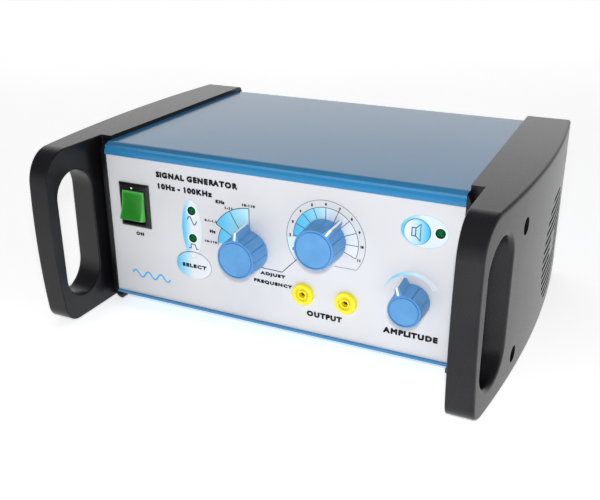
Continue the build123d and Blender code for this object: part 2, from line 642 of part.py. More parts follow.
def indicator_leds():
    lamps = []
    for x, z in LED_SPOTS:
        lens = rod("y", (x, z), LED_RADIUS, -0.2, 6.0)
        lens = fillet(lens.faces().sort_by(Axis.Y)[0].edges(), 0.9)
        lens += rod("y", (x, z), LED_BEZEL_RADIUS, 5.0, 6.4)
        for offset in (-1.27, 1.27):
            lens += block(x + offset - 0.25, x + offset + 0.25, 6.0, CONTROL_BOARD_Y, z - 0.25, z + 0.25)
        lamps.append(lens)
    return joined(lamps)


def led_bezels():
    return joined([ring("y", spot, LED_BEZEL_RADIUS, LED_RADIUS + 0.05, -0.4, 4.4) for spot in LED_SPOTS])


# ---- output sockets ------------------------------------------------------------------------------
def output_socket(x):
    """Insulated body of a 4 mm socket: flange with a ring-shaped well round the mouth."""
    spot = (x, SOCKET_Z)
    body = rod("y", spot, SOCKET_FLANGE_RADIUS, -2.6, 0.0)
    body = fillet(body.faces().sort_by(Axis.Y)[0].edges(), 0.9)
    body += rod("y", spot, SOCKET_BODY_RADIUS, -0.1, 19.0)
    body -= ring("y", spot, 4.5, SOCKET_CONTACT_RADIUS, -3, -0.4)
    body -= rod("y", spot, SOCKET_BORE_RADIUS, -3, 2)
    return body - rod("y", spot, SOCKET_CONTACT_RADIUS + 0.05, 1, 20)


def output_contact(x):
    """Sprung sleeve of the socket, with a solder tag at the back."""
    spot = (x, SOCKET_Z)
    sleeve = ring("y", spot, SOCKET_CONTACT_RADIUS, SOCKET_BORE_RADIUS, 1.05, 18.0)
    sleeve += rod("y", spot, SOCKET_CONTACT_RADIUS, 18.0, 19.5)
    return sleeve + block(x - 1.8, x + 1.8, 19.0, 26.0, SOCKET_Z - 0.4, SOCKET_Z + 0.4)


def socket_nuts():
    return joined([
        hex_nut((x, SOCKET_Z), 15.0, SOCKET_BODY_RADIUS + 0.1, PANEL_BACK, PANEL_BACK + 2.6)
        for x in (SOCKET_LEFT_X, SOCKET_RIGHT_X)
    ])


# ---- circuit boards ------------------------------------------------------------------------------
def control_standoff_spots():
    return [(-76, 24), (-76, 98), (112, 24), (76, 98)]


def control_board():
    y0, y1 = CONTROL_BOARD_Y, CONTROL_BOARD_Y + BOARD_SHEET
    board = block(-82, 116, y0, y1, 18, 104)
    board -= rod("y", (RANGE_X, RANGE_Z), 12.6, y0 - 1, y1 + 1)
    for x in (SOCKET_LEFT_X, SOCKET_RIGHT_X):
        board -= rod("y", (x, SOCKET_Z), 6.5, y0 - 1, y1 + 1)
    for spot in control_standoff_spots():
        board -= rod("y", spot, 1.5, y0 - 1, y1 + 1)
    return board


def board_standoffs():
    """Round spacers: four behind the front panel and six on the floor."""
    posts = [
        ring("y", spot, 3.0, 1.5, PANEL_BACK, CONTROL_BOARD_Y)
        for spot in control_standoff_spots()
    ]
    floor = CASE_BOTTOM + SHEET
    posts += [ring("z", spot, 3.2, 1.5, floor, MAIN_BOARD_Z) for spot in main_standoff_spots()]
    return joined(posts)


def main_board():
    x0, x1, y0, y1 = MAIN_BOARD
    board = block(x0, x1, y0, y1, MAIN_BOARD_Z, MAIN_BOARD_Z + BOARD_SHEET)
    for spot in main_standoff_spots():
        board -= rod("z", spot, 1.5, MAIN_BOARD_Z - 1, MAIN_BOARD_Z + 3)
    return board


def dual_in_line(x, y, length):
    """Chip with two rows of legs, standing on the main board."""
    top = MAIN_BOARD_Z + BOARD_SHEET
    chip = block(x - length / 2, x + length / 2, y - 3.2, y + 3.2, top + 0.8, top + 4.2)
    pins = int(length / 2.54)
    for pin in range(pins):
        px = x + (pin - (pins - 1) / 2) * 2.54
        for side in (-1, 1):
            y0, y1 = sorted((y + side * 3.1, y + side * 3.8))
            chip += block(px - 0.3, px + 0.3, y0, y1, top, top + 2.6)
    return chip


def waveform_chips():
    return joined([
        dual_in_line(x, y, length)
        for x, y, length in ((5, 80, 20), (40, 80, 20), (5, 100, 18), (40, 100, 18), (66, 80, 10))
    ])


def filter_capacitors():
    top = MAIN_BOARD_Z + BOARD_SHEET
    cans = []
    for x, y, radius, height in ((-14, 140, 8, 26), (5, 140, 8, 26), (24, 146, 5, 13), (36, 146, 5, 13)):
        can = rod("z", (x, y), radius, top, top + height)
        can = fillet(can.edges().filter_by(GeomType.CIRCLE).sort_by(Axis.Z)[-1], 0.8)
        cans.append(can)
    return joined(cans)


def heatsink():
    top = MAIN_BOARD_Z + BOARD_SHEET
    sink = block(48, 82, 130, 133, top, top + 36)
    for x in range(48, 82, 6):
        sink += block(x, x + 1.6, 132, 146, top, top + 36)
    return sink


def voltage_regulators():
    top = MAIN_BOARD_Z + BOARD_SHEET
    parts = []
    for x in (57, 73):
        tab = block(x - 5, x + 5, 128.6, 130.0, top + 8, top + 24)
        tab += block(x - 5, x + 5, 125.4, 128.8, top + 8, top + 17)
        for offset in (-2.54, 0, 2.54):
            tab += block(x + offset - 0.4, x + offset + 0.4, 127.2, 127.8, top, top + 8.5)
        parts.append(tab)
    return joined(parts)


def ribbon_cable():
    """Flat cable from the control board down to the main board."""
    start_y = CONTROL_BOARD_Y + BOARD_SHEET
    top = MAIN_BOARD_Z + BOARD_SHEET
    route = FilletPolyline((start_y, 28), (34, 28), (34, 46), (58, 46), (58, top), radius=7.0)
    strip = extrude(Plane.YZ * trace(route, 1.2), 12, both=True)
    clip = block(-200, 200, start_y, 58.7, top, 80)
    return strip & clip


# ---- transformer ---------------------------------------------------------------------------------
def transformer_screw_x():
    return (TRANSFORMER_X - 32.0, TRANSFORMER_X + 32.0)


def around_transformer(half_x, half_y, z0, z1):
    return block(TRANSFORMER_X - half_x, TRANSFORMER_X + half_x,
                 TRANSFORMER_Y - half_y, TRANSFORMER_Y + half_y, z0, z1)


def transformer_core():
    base = CASE_BOTTOM + SHEET
    core = around_transformer(27, 11, base, base + 45)
    windows = around_transformer(18, 12, base + 9, base + 36) - around_transformer(9, 13, base, base + 45)
    return core - windows


def transformer_bobbin():
    base = CASE_BOTTOM + SHEET + 9.0
    spool = around_transformer(9.9, 11.9, base, base + 27)
    for z in (base, base + 26):
        spool += around_transformer(18, 20.5, z, z + 1.0)
    for side in (-1, 1):
        y0, y1 = sorted((TRANSFORMER_Y + side * 11.05, TRANSFORMER_Y + side * 21))
        spool += block(TRANSFORMER_X - 18, TRANSFORMER_X + 18, y0, y1, base, base + 1.0)
    return spool - around_transformer(9.05, 11.05, base - 1, base + 28)


def transformer_winding():
    base = CASE_BOTTOM + SHEET + 10.0
    coil = around_transformer(17.6, 19.8, base, base + 25)
    coil = fillet(coil.edges().filter_by(Axis.Z), 4.0)
    return coil - around_transformer(9.9, 11.9, base - 1, base + 26)


def transformer_strap():
    """Steel strap over the core with two feet on the floor."""
    base = CASE_BOTTOM + SHEET
    strap = around_transformer(28.2, 8, base, base + 46.2) - around_transformer(27, 9, base - 1, base + 45)
    strap += around_transformer(36, 8, base, base + 1.2) - around_transformer(27, 9, base - 1, base + 2)
    for x in transformer_screw_x():
        strap -= rod("z", (x, TRANSFORMER_Y), 1.6, base - 1, base + 3)
    return strap


# ---- mains inlet ---------------------------------------------------------------------------------
def inlet_mouth(y0, y1):
    """Six-sided mouth of the mains inlet."""
    half_x, half_z, cut = 12.2, 8.4, 4.5
    outline = Polyline((-half_x, -half_z), (half_x, -half_z), (half_x, half_z - cut),
                       (half_x - cut, half_z), (cut - half_x, half_z), (-half_x, half_z - cut), close=True)
    plane = Plane(origin=(INLET_X, y1, INLET_Z + 7), x_dir=(1, 0, 0), z_dir=(0, -1, 0))
    return extrude(plane * make_face(outline), y1 - y0)


def drawer_block(grow, y0, y1):
    return block(INLET_X - 11 - grow, INLET_X + 11 + grow, y0, y1,
                 INLET_Z - 12.0 - grow, INLET_Z - 4.6 + grow)


def mains_inlet():
    face = REAR_PANEL_FACE
    shell = block(INLET_X - 15, INLET_X + 15, face, face + 1.6, INLET_Z - 26, INLET_Z + 26)
    shell = fillet(shell.edges().filter_by(Axis.Y), 3.0)
    shell += block(INLET_X - 13.8, INLET_X + 13.8, face - 26, face + 0.5, INLET_Z - 18, INLET_Z + 18)
    shell -= inlet_mouth(face - 16, face + 3)
    shell -= drawer_block(0.35, face - 24, face + 3)
    for x, z in inlet_pin_spots():
        shell -= block(x - 1.1, x + 1.1, face - 30, face, z - 2.1, z + 2.1)
    for z in (INLET_Z - 22, INLET_Z + 22):
        shell -= rod("y", (INLET_X, z), 1.6, face - 5, face + 5)
    return shell


def inlet_pin_spots():
    middle = INLET_Z + 7
    return [(INLET_X - 7, middle - 2), (INLET_X, middle + 2), (INLET_X + 7, middle - 2)]


def inlet_pins():
    face = REAR_PANEL_FACE
    return joined([
        block(x - 1.0, x + 1.0, face - 34, face - 2, z - 2.0, z + 2.0) for x, z in inlet_pin_spots()
    ])


def fuse_drawer():
    """Drawer that pulls out of the inlet with the fuse in its trough."""
    face = REAR_PANEL_FACE
    drawer = drawer_block(0.0, face - 23.5, face + 1.2)
    drawer += block(INLET_X - 11, INLET_X + 11, face + 1.0, face + 2.6, INLET_Z - 12.0, INLET_Z - 10.4)
    return drawer - block(INLET_X - 2.9, INLET_X + 2.9, face - 22.5, face - 1.5,
                          INLET_Z - 10.8, INLET_Z)


def fuse():
    face = REAR_PANEL_FACE
    z = INLET_Z - 7.8
    tube = rod("y", (INLET_X, z), 2.3, face - 22, face - 2)
    for y in (face - 22, face - 8):
        tube += rod("y", (INLET_X, z), 2.6, y, y + 6)
    return tube


# ---- loudspeaker ---------------------------------------------------------------------------------
def speaker_turned(radii_and_depths):
    """Solid of revolution about the loudspeaker's axis; depth is measured inwards."""
    outline = Polyline(*radii_and_depths, close=True)
    turned = revolve(Plane.XZ * make_face(outline), Axis.Z)
    face = CASE_HALF_WIDTH - FRAME_SHEET
    return Pos(face, GRILLE_Y, GRILLE_Z) * Rot(0, -90, 0) * turned


def speaker_basket():
    return speaker_turned([(27, 0), (33, 0), (33, 1.2), (28.5, 1.2), (14, 13), (8, 13), (8, 11.8),
                           (13.4, 11.8), (27, 1.0)])


def speaker_cone():
    return speaker_turned([(0, 6.2), (7, 6.8), (26.6, 0.2), (26.8, 0.9), (7.4, 7.6), (7.4, 10.5),
                           (6.6, 10.5), (6.6, 7.6), (0, 7.0)])


def speaker_magnet():
    return speaker_turned([(0, 11.0), (5.6, 11.0), (5.6, 13.2), (16, 13.2), (16, 21), (0, 21)])


# ---- wiring --------------------------------------------------------------------------------------
def mains_wiring():
    """Two insulated wires from the inlet to the switch and one on to the transformer."""
    back = REAR_PANEL_FACE - 34.2
    switch_back = SWITCH_BODY[2] + 8.2
    wires = []
    for column, pin in zip(terminal_columns(), (0, 2)):
        x, z = inlet_pin_spots()[pin]
        rise = 92 if pin else 84
        wires.append(wire([(x, back, z), (x, back - 14, z), (column - 3, back - 40, rise),
                           (column - 3, back - 78, rise), (column, switch_back + 16, SWITCH_Z + 7),
                           (column, switch_back, SWITCH_Z + 7)], 1.1))
    column = terminal_columns()[0]
    wires.append(wire([(column, switch_back, SWITCH_Z - 7), (column, switch_back + 14, SWITCH_Z - 7),
                       (-94, 66, 48), (-80, 74, 36), (-80, 84, 36)], 1.1))
    return joined(wires)


# ---- write every node ----------------------------------------------------------------------------
right_cheek = right_cheek_solid()
save("right_cheek", right_cheek)
save("left_cheek", mirror(right_cheek, about=Plane.YZ))
save("cheek_screws", cheek_screws())
save("top_cover", top_cover())
save("bottom_cover", bottom_cover())
save("front_panel", front_panel())
save("panel_overlay", panel_overlay())
save("rear_panel", rear_panel())
save("left_side_frame", side_frame(-1))
save("right_side_frame", side_frame(1))
save("frame_nuts", frame_nuts())
save("rubber_feet", rubber_feet())
save("case_screws", case_screws())
save("switch_housing", switch_housing())
save("switch_rocker", switch_rocker())
save("switch_terminals", switch_terminals())
save_control("range", LARGE_KNOB, RANGE_X, RANGE_Z, RANGE_POINTER, "range_switch", 22.0)
save_control("frequency", LARGE_KNOB, FREQUENCY_X, FREQUENCY_Z, FREQUENCY_POINTER, "frequency_pot", 10.5)
save_control("amplitude", SMALL_KNOB, AMPLITUDE_X, AMPLITUDE_Z, AMPLITUDE_POINTER, "amplitude_pot", 10.5)
save("control_nuts", control_nuts())
save("select_key", select_key())
save("speaker_key", speaker_key())
save("key_switches", key_switches())
save("indicator_leds", indicator_leds())
save("led_bezels", led_bezels())
save("output_socket_left", output_socket(SOCKET_LEFT_X))
save("output_socket_right", output_socket(SOCKET_RIGHT_X))
save("output_contact_left", output_contact(SOCKET_LEFT_X))
save("output_contact_right", output_contact(SOCKET_RIGHT_X))
save("socket_nuts", socket_nuts())
save("control_board", control_board())
save("board_standoffs", board_standoffs())
save("main_board", main_board())
save("waveform_chips", waveform_chips())
save("filter_capacitors", filter_capacitors())
save("heatsink", heatsink())
save("voltage_regulators", voltage_regulators())
save("ribbon_cable", ribbon_cable())
save("transformer_core", transformer_core())
save("transformer_bobbin", transformer_bobbin())
save("transformer_winding", transformer_winding())
save("transformer_strap", transformer_strap())
save("mains_inlet", mains_inlet())
save("inlet_pins", inlet_pins())
save("fuse_drawer", fuse_drawer())
save("fuse", fuse())
save("speaker_basket", speaker_basket())
save("speaker_cone", speaker_cone())
save("speaker_magnet", speaker_magnet())
save("mains_wiring", mains_wiring())
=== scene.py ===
import json
import math

import bmesh
import bpy
from mathutils import Matrix, Vector
from mathutils.geometry import delaunay_2d_cdt


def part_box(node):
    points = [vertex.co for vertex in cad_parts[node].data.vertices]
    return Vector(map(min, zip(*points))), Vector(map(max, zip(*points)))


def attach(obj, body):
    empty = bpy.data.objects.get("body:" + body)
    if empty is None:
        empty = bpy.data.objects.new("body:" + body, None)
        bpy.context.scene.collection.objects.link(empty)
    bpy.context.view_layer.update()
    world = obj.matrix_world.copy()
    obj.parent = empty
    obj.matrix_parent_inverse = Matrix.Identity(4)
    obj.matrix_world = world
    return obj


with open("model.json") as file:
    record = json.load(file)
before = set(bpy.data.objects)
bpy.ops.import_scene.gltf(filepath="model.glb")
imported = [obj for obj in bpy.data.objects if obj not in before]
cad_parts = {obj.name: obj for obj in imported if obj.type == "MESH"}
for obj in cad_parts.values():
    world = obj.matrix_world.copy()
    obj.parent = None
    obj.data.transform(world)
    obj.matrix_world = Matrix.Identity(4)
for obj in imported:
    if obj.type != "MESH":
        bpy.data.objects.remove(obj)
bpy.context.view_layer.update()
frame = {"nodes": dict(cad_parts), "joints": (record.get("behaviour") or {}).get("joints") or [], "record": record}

# A bench function generator. X runs to the right along its front panel, Y from front to rear, Z up.
# Panel artwork is laid out in millimetres: x from the middle of the case and z above the bench.
MM = 0.001
INK = 0.04 * MM                 # thickness of one printed layer
BOLD, SMALL_BOLD = 0.1, 0.115   # stroke added round letters, as a share of their height
joint_at = {j["name"]: Vector(j["pos_m"]) for j in frame["joints"] if "pos_m" in j}
PANEL_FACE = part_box("panel_overlay")[0].y
SELECT_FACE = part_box("select_key")[0].y
SPEAKER_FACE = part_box("speaker_key")[0].y
BEZEL_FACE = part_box("switch_housing")[0].y
SELECT_OPENING = (13.6, 10.0)   # half sizes of the openings in the panel, in millimetres
SPEAKER_OPENING = 8.0
LAMP_OPENING = 3.0
LAMPS = [(-56.3, 79.2), (-56.3, 60.1), (107.9, 91.5)]
OUTLINE, SCALE_LINE, SYMBOL_LINE = 0.3, 0.5, 0.62   # widths of printed lines


def middle(name):
    """Middle of a CAD node in the panel's plane, in millimetres."""
    low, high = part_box(name)
    return (low.x + high.x) / 2 / MM, (low.z + high.z) / 2 / MM


def axis_of(joint):
    """A knob's axis in the panel's plane, in millimetres."""
    return joint_at[joint].x / MM, joint_at[joint].z / MM


def tone(red, green, blue):
    """Linear colour of an 8-bit screen colour."""
    def channel(value):
        share = value / 255
        return share / 12.92 if share <= 0.04045 else ((share + 0.055) / 1.055) ** 2.4
    return channel(red), channel(green), channel(blue), 1.0


# ---- materials -----------------------------------------------------------------------------------
def node(mat, kind, links=(), settings=(), **values):
    """Adds a shader node: values set its sockets, settings its properties, links its inputs."""
    made = mat.node_tree.nodes.new("ShaderNode" + kind)
    for key, value in dict(settings).items():
        setattr(made, key, value)
    for key, value in values.items():
        made.inputs[key.replace("_", " ")].default_value = value
    for key, source in dict(links).items():
        mat.node_tree.links.new(source, made.inputs[key])
    return made


def principled(mat):
    return mat.node_tree.nodes["Principled BSDF"]


def feed(mat, socket, source):
    """Links a value to a socket of the material's Principled shader."""
    mat.node_tree.links.new(source, principled(mat).inputs[socket])


def coordinates(mat):
    """The object's own coordinates, so that a finish moves with its piece."""
    return node(mat, "TexCoord").outputs["Object"]


def start(name, **values):
    """New material with a Principled shader; returns it with the object's coordinates."""
    mat = bpy.data.materials.new(name)
    mat.use_nodes = True
    for key, value in values.items():
        principled(mat).inputs[key.replace("_", " ")].default_value = value
    return mat, coordinates(mat)


def stretched(mat, place, scale):
    """Coordinates scaled by axis."""
    return node(mat, "Mapping", {"Vector": place}, Scale=scale).outputs["Vector"]


def noise(mat, place, scale, detail=3.0):
    return node(mat, "TexNoise", {"Vector": place}, Scale=scale, Detail=detail).outputs["Fac"]


def blended(mat, first, second, share):
    """First colour with a share of the second."""
    mixed = node(mat, "Mix", {"A": first, "B": second}, {"data_type": "RGBA"})
    mixed.inputs["Factor"].default_value = share
    return mixed.outputs["Result"]


def bands(mat, place, axis, scale, distortion=0.0):
    """Even bands that follow one another along an axis."""
    return node(mat, "TexWave", {"Vector": place}, {"bands_direction": axis},
                Scale=scale, Distortion=distortion).outputs["Fac"]


def ramp(mat, factor, stops):
    """Colour ramp through (position, colour) stops."""
    made = node(mat, "ValToRGB", {"Fac": factor})
    elements = made.color_ramp.elements
    while len(elements) < len(stops):
        elements.new(0.5)
    for element, (position, colour) in zip(elements, stops):
        element.position = position
        element.color = colour
    return made.outputs["Color"]


def spread(mat, factor, low, high, start_at=0.3, end_at=0.7):
    """Maps a factor between two limits onto a range of values."""
    return node(mat, "MapRange", {"Value": factor}, From_Min=start_at, From_Max=end_at,
                To_Min=low, To_Max=high).outputs["Result"]


def bumped(mat, height, distance, strength=1.0):
    """Adds relief to a material, on top of any relief it has."""
    links = {"Height": height}
    normal = principled(mat).inputs["Normal"]
    if normal.is_linked:
        links["Normal"] = normal.links[0].from_socket
    made = node(mat, "Bump", links, Strength=strength, Distance=distance)
    feed(mat, "Normal", made.outputs["Normal"])


def grained(name, dark, light, grain, relief, rough, wander=60.0, **values):
    """Finish with a slow drift between two near colours and a fine grain."""
    mat, place = start(name, **values)
    feed(mat, "Base Color", ramp(mat, noise(mat, place, wander), [(0.35, dark), (0.65, light)]))
    fine = noise(mat, place, grain, 2.0)
    feed(mat, "Roughness", spread(mat, fine, *rough))
    bumped(mat, fine, relief)
    return mat


def black_moulding():
    """Spark-textured black moulding of the cheeks, with larger soft pits between the grain."""
    mat = grained("black_moulding", (0.005, 0.005, 0.0065, 1), (0.011, 0.011, 0.013, 1), 2600,
                  0.000016, (0.22, 0.34), 25, IOR=1.37)
    pits = node(mat, "TexVoronoi", {"Vector": coordinates(mat)}, Scale=1500.0, Randomness=1.0)
    bumped(mat, pits.outputs["Distance"], 0.00002, 0.6)
    return mat


def powder_coat(name):
    """Blue powder coat: even colour, faint orange peel and tiny flecks."""
    mat, place = start(name, IOR=1.5)
    drift = noise(mat, place, 18.0, 3.0)
    flecks = noise(mat, place, 3800.0, 1.0)
    even = ramp(mat, drift, [(0.3, tone(38, 124, 176)), (0.7, tone(45, 133, 186))])
    flecked = ramp(mat, flecks, [(0.45, tone(35, 116, 167)), (0.62, tone(54, 143, 195))])
    feed(mat, "Base Color", blended(mat, even, flecked, 0.35))
    feed(mat, "Roughness", spread(mat, flecks, 0.15, 0.22))
    bumped(mat, noise(mat, place, 420.0, 2.0), 0.00002, 0.25)
    return mat


def blue_paint():
    return powder_coat("blue_paint")


def rear_paint():
    return powder_coat("rear_paint")


def overlay_print():
    """Printed polyester film on the front panel: satin, with a faint cloudiness."""
    return grained("overlay_print", tone(210, 211, 215), tone(218, 219, 223), 5200, 0.000008,
                   (0.36, 0.46), 14, IOR=1.5)


def sheet_metal(name, dark, light, grain_axis, rough):
    """Rolled or brushed sheet: long fine streaks along one axis."""
    mat, place = start(name, Metallic=1.0)
    scale = [1.0, 1.0, 1.0]
    scale[grain_axis] = 0.03
    streaks = noise(mat, stretched(mat, place, scale), 1800.0, 4.0)
    feed(mat, "Base Color", ramp(mat, streaks, [(0.3, dark), (0.7, light)]))
    feed(mat, "Roughness", spread(mat, streaks, *rough))
    bumped(mat, streaks, 0.00001, 0.5)
    return mat


def panel_metal():
    return sheet_metal("panel_metal", (0.60, 0.61, 0.62, 1), (0.78, 0.79, 0.80, 1), 0, (0.35, 0.5))


def bare_aluminium():
    return sheet_metal("bare_aluminium", (0.50, 0.51, 0.53, 1), (0.70, 0.71, 0.73, 1), 2,
                       (0.3, 0.45))


def zinc_steel():
    """Zinc plate with its faint crystal spangle."""
    mat, place = start("zinc_steel", Metallic=1.0)
    spangle = node(mat, "TexVoronoi", {"Vector": place}, Scale=260.0).outputs["Color"]
    grey = node(mat, "RGBToBW", {"Color": spangle}).outputs["Val"]
    colour = ramp(mat, grey, [(0.2, (0.52, 0.53, 0.55, 1)), (0.8, (0.72, 0.73, 0.75, 1))])
    feed(mat, "Base Color", colour)
    feed(mat, "Roughness", spread(mat, grey, 0.3, 0.48))
    bumped(mat, noise(mat, place, 900.0), 0.00001, 0.5)
    return mat


def bright_steel():
    """Nickel-plated screw heads, a little worn."""
    return grained("bright_steel", (0.42, 0.42, 0.43, 1), (0.60, 0.60, 0.61, 1), 2400, 0.00001,
                   (0.18, 0.34), 300, Metallic=1.0)


def brass_metal():
    return grained("brass_metal", (0.62, 0.42, 0.14, 1), (0.80, 0.60, 0.26, 1), 1900, 0.00001,
                   (0.22, 0.38), 220, Metallic=1.0)


def black_rubber():
    return grained("black_rubber", (0.014, 0.014, 0.014, 1), (0.030, 0.030, 0.030, 1), 1500,
                   0.00006, (0.75, 0.9), 90, Specular_IOR_Level=0.3)


def switch_black():
    """Polished black moulding of the switch bezel and the mains inlet, with light rub marks."""
    return grained("switch_black", (0.006, 0.006, 0.007, 1), (0.011, 0.011, 0.012, 1), 700,
                   0.000006, (0.16, 0.27), 70, IOR=1.42)


def switch_green():
    """Tinted translucent rocker with a painted highlight that lightens it towards its edges, and faint lines
    across it.
    """
    mat, place = start("switch_green", IOR=1.49, Roughness=0.2, Subsurface_Weight=0.35,
                       Subsurface_Scale=0.002, Subsurface_Radius=(0.3, 1.0, 0.3),
                       Coat_Weight=0.4, Coat_Roughness=0.12)
    low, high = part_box("switch_rocker")
    centre = (low + high) / 2
    half = Vector((8.4, 1.0, 10.2)) * MM                # half sizes of the rocker's face
    shift = node(mat, "Mapping", {"Vector": place},
                 Location=(-centre.x / half.x, -centre.y / half.y, -centre.z / half.z),
                 Scale=(1 / half.x, 0.0, 1 / half.z)).outputs["Vector"]
    far = node(mat, "VectorMath", {"Vector": shift}, {"operation": "ABSOLUTE"}).outputs["Vector"]
    sides = node(mat, "SeparateXYZ", {"Vector": far}).outputs
    edge = node(mat, "Math", {0: sides["X"], 1: sides["Z"]}, {"operation": "MAXIMUM"})
    # Painted highlight: the green lightens towards the rocker's edges and is almost white at its rim.
    edge_highlight_green = ramp(mat, edge.outputs["Value"], [(0.2, tone(33, 122, 34)), (0.8, tone(38, 136, 38)),
                                             (0.93, tone(60, 176, 58)), (1.0, tone(120, 216, 112))])
    prism = bands(mat, place, "Z", 420.0, 0.6)
    lines = ramp(mat, prism, [(0.0, tone(31, 118, 33)), (1.0, tone(56, 162, 54))])
    feed(mat, "Base Color", blended(mat, edge_highlight_green, lines, 0.3))
    bumped(mat, noise(mat, place, 900.0), 0.000008, 0.6)
    return mat


def knob_blue():
    """Satin sky-blue knobs with a fine moulded grain."""
    return grained("knob_blue", tone(85, 148, 206), tone(94, 157, 213), 2800, 0.000012, (0.3, 0.42),
                   110, IOR=1.4)


def marker_white():
    return grained("marker_white", tone(248, 248, 250), tone(255, 255, 255), 1500, 0.00001,
                   (0.3, 0.45), 200)


def led_green():
    """Tinted lens of an unlit lamp, slightly cloudy."""
    return grained("led_green", tone(0, 70, 34), tone(0, 104, 56), 1100, 0.000005, (0.3, 0.42), 700,
                   Specular_IOR_Level=0.08)


def lamp_rim():
    """Dull dark green ring that holds a lamp's lens."""
    return grained("lamp_rim", tone(0, 34, 20), tone(0, 46, 28), 1100, 0.000005, (0.5, 0.62), 500,
                   Specular_IOR_Level=0.05)


def socket_yellow():
    """Glossy yellow moulding with slight flow marks."""
    return grained("socket_yellow", tone(250, 226, 20), tone(255, 238, 46), 900, 0.000008,
                   (0.2, 0.32), 160, IOR=1.5, Subsurface_Weight=0.1, Subsurface_Scale=0.001)


def board_green():
    """Solder mask over tracks that run along and across the board."""
    mat, place = start("board_green", IOR=1.5)
    tracks = node(mat, "TexBrick", {"Vector": place}, Scale=130.0,
                  Mortar_Size=0.012, Color1=(0.02, 0.17, 0.07, 1), Color2=(0.026, 0.21, 0.085, 1),
                  Mortar=(0.05, 0.30, 0.12, 1))
    feed(mat, "Base Color", tracks.outputs["Color"])
    feed(mat, "Roughness", spread(mat, noise(mat, place, 500.0), 0.28, 0.42))
    bumped(mat, tracks.outputs["Fac"], 0.00002, 0.6)
    return mat


def nylon_white():
    return grained("nylon_white", (0.66, 0.65, 0.60, 1), (0.76, 0.75, 0.70, 1), 1200, 0.00002,
                   (0.45, 0.6), 150, Subsurface_Weight=0.1, Subsurface_Scale=0.001)


def chip_black():
    return grained("chip_black", (0.018, 0.018, 0.019, 1), (0.030, 0.030, 0.031, 1), 4200, 0.00002,
                   (0.5, 0.65), 240)


def sleeve_blue():
    return grained("sleeve_blue", (0.03, 0.05, 0.20, 1), (0.05, 0.08, 0.27, 1), 800, 0.00001,
                   (0.2, 0.35), 120, Coat_Weight=0.4)


def ribbon_grey():
    """Flat cable: ribs run along it, so the colour steps across its width."""
    mat, place = start("ribbon_grey")
    ribs = bands(mat, place, "X", 250.0)
    colour = ramp(mat, ribs, [(0.1, (0.28, 0.28, 0.30, 1)), (0.6, (0.48, 0.48, 0.50, 1))])
    feed(mat, "Base Color", colour)
    feed(mat, "Roughness", spread(mat, ribs, 0.4, 0.55))
    bumped(mat, ribs, 0.0002, 0.6)
    return mat


def laminated_steel():
    """Varnished stack of thin sheets, so fine lines run across its edge."""
    mat, place = start("laminated_steel", Metallic=0.7)
    stack = bands(mat, place, "Y", 620.0, 0.4)
    colour = ramp(mat, stack, [(0.2, (0.10, 0.10, 0.11, 1)), (0.8, (0.24, 0.24, 0.25, 1))])
    feed(mat, "Base Color", colour)
    feed(mat, "Roughness", spread(mat, stack, 0.35, 0.55))
    bumped(mat, stack, 0.00004, 0.6)
    return mat


def winding_tape():
    mat, place = start("winding_tape", IOR=1.5)
    turns = bands(mat, place, "Z", 90.0, 1.2)
    colour = ramp(mat, turns, [(0.2, (0.50, 0.34, 0.05, 1)), (0.8, (0.66, 0.48, 0.10, 1))])
    feed(mat, "Base Color", colour)
    feed(mat, "Roughness", spread(mat, turns, 0.25, 0.4))
    bumped(mat, turns, 0.0001, 0.5)
    return mat


def glass_clear():
    return grained("glass_clear", (0.78, 0.84, 0.86, 1), (0.90, 0.94, 0.95, 1), 600, 0.000004,
                   (0.03, 0.1), 200, Transmission_Weight=0.85, IOR=1.5)


def cone_paper():
    """Rough pressed paper of the loudspeaker's cone."""
    return grained("cone_paper", (0.035, 0.034, 0.033, 1), (0.075, 0.073, 0.07, 1), 2100, 0.00006,
                   (0.8, 0.95), 700)


def wire_brown():
    return grained("wire_brown", (0.14, 0.045, 0.018, 1), (0.20, 0.07, 0.028, 1), 1400, 0.00001,
                   (0.35, 0.5), 130)


def faded(name, low_x, high_x, stops):
    """Printed colour that fades along X between two places, with a trace of print grain."""
    mat, place = start(name, IOR=1.5)
    along = node(mat, "SeparateXYZ", {"Vector": place}).outputs["X"]
    share = spread(mat, along, 0.0, 1.0, low_x * MM, high_x * MM)
    grain = noise(mat, place, 6000.0, 1.0)
    shift = spread(mat, grain, -0.012, 0.012)
    moved = node(mat, "Math", {0: share, 1: shift}, {"operation": "ADD"}).outputs["Value"]
    feed(mat, "Base Color", ramp(mat, moved, stops))
    feed(mat, "Roughness", spread(mat, grain, 0.36, 0.46))
    bumped(mat, grain, 0.000008)
    return mat


def ink(name, dark, light):
    """Screen-printed ink: a little uneven in cover."""
    return grained(name, dark, light, 5200, 0.000008, (0.4, 0.55), 900, Specular_IOR_Level=0.15)


SKY = tone(62, 181, 236)
PALE = tone(160, 217, 240)
GREY = tone(218, 228, 236)
WHITE = tone(226, 230, 236)
KEY_ROUNDING = 1.2              # width of a key cap's rounded edge, in millimetres

# ---- finish of every CAD node --------------------------------------------------------------------
finishes = {
    "black_moulding": black_moulding(), "blue_paint": blue_paint(), "rear_paint": rear_paint(),
    "overlay_print": overlay_print(), "panel_metal": panel_metal(),
    "bare_aluminium": bare_aluminium(), "zinc_steel": zinc_steel(), "bright_steel": bright_steel(),
    "brass_metal": brass_metal(), "black_rubber": black_rubber(), "switch_black": switch_black(),
    "switch_green": switch_green(), "knob_blue": knob_blue(), "marker_white": marker_white(),
    "led_green": led_green(), "socket_yellow": socket_yellow(), "board_green": board_green(),
    "nylon_white": nylon_white(), "chip_black": chip_black(), "sleeve_blue": sleeve_blue(),
    "ribbon_grey": ribbon_grey(), "laminated_steel": laminated_steel(),
    "winding_tape": winding_tape(), "glass_clear": glass_clear(), "cone_paper": cone_paper(),
    "wire_brown": wire_brown(),
}


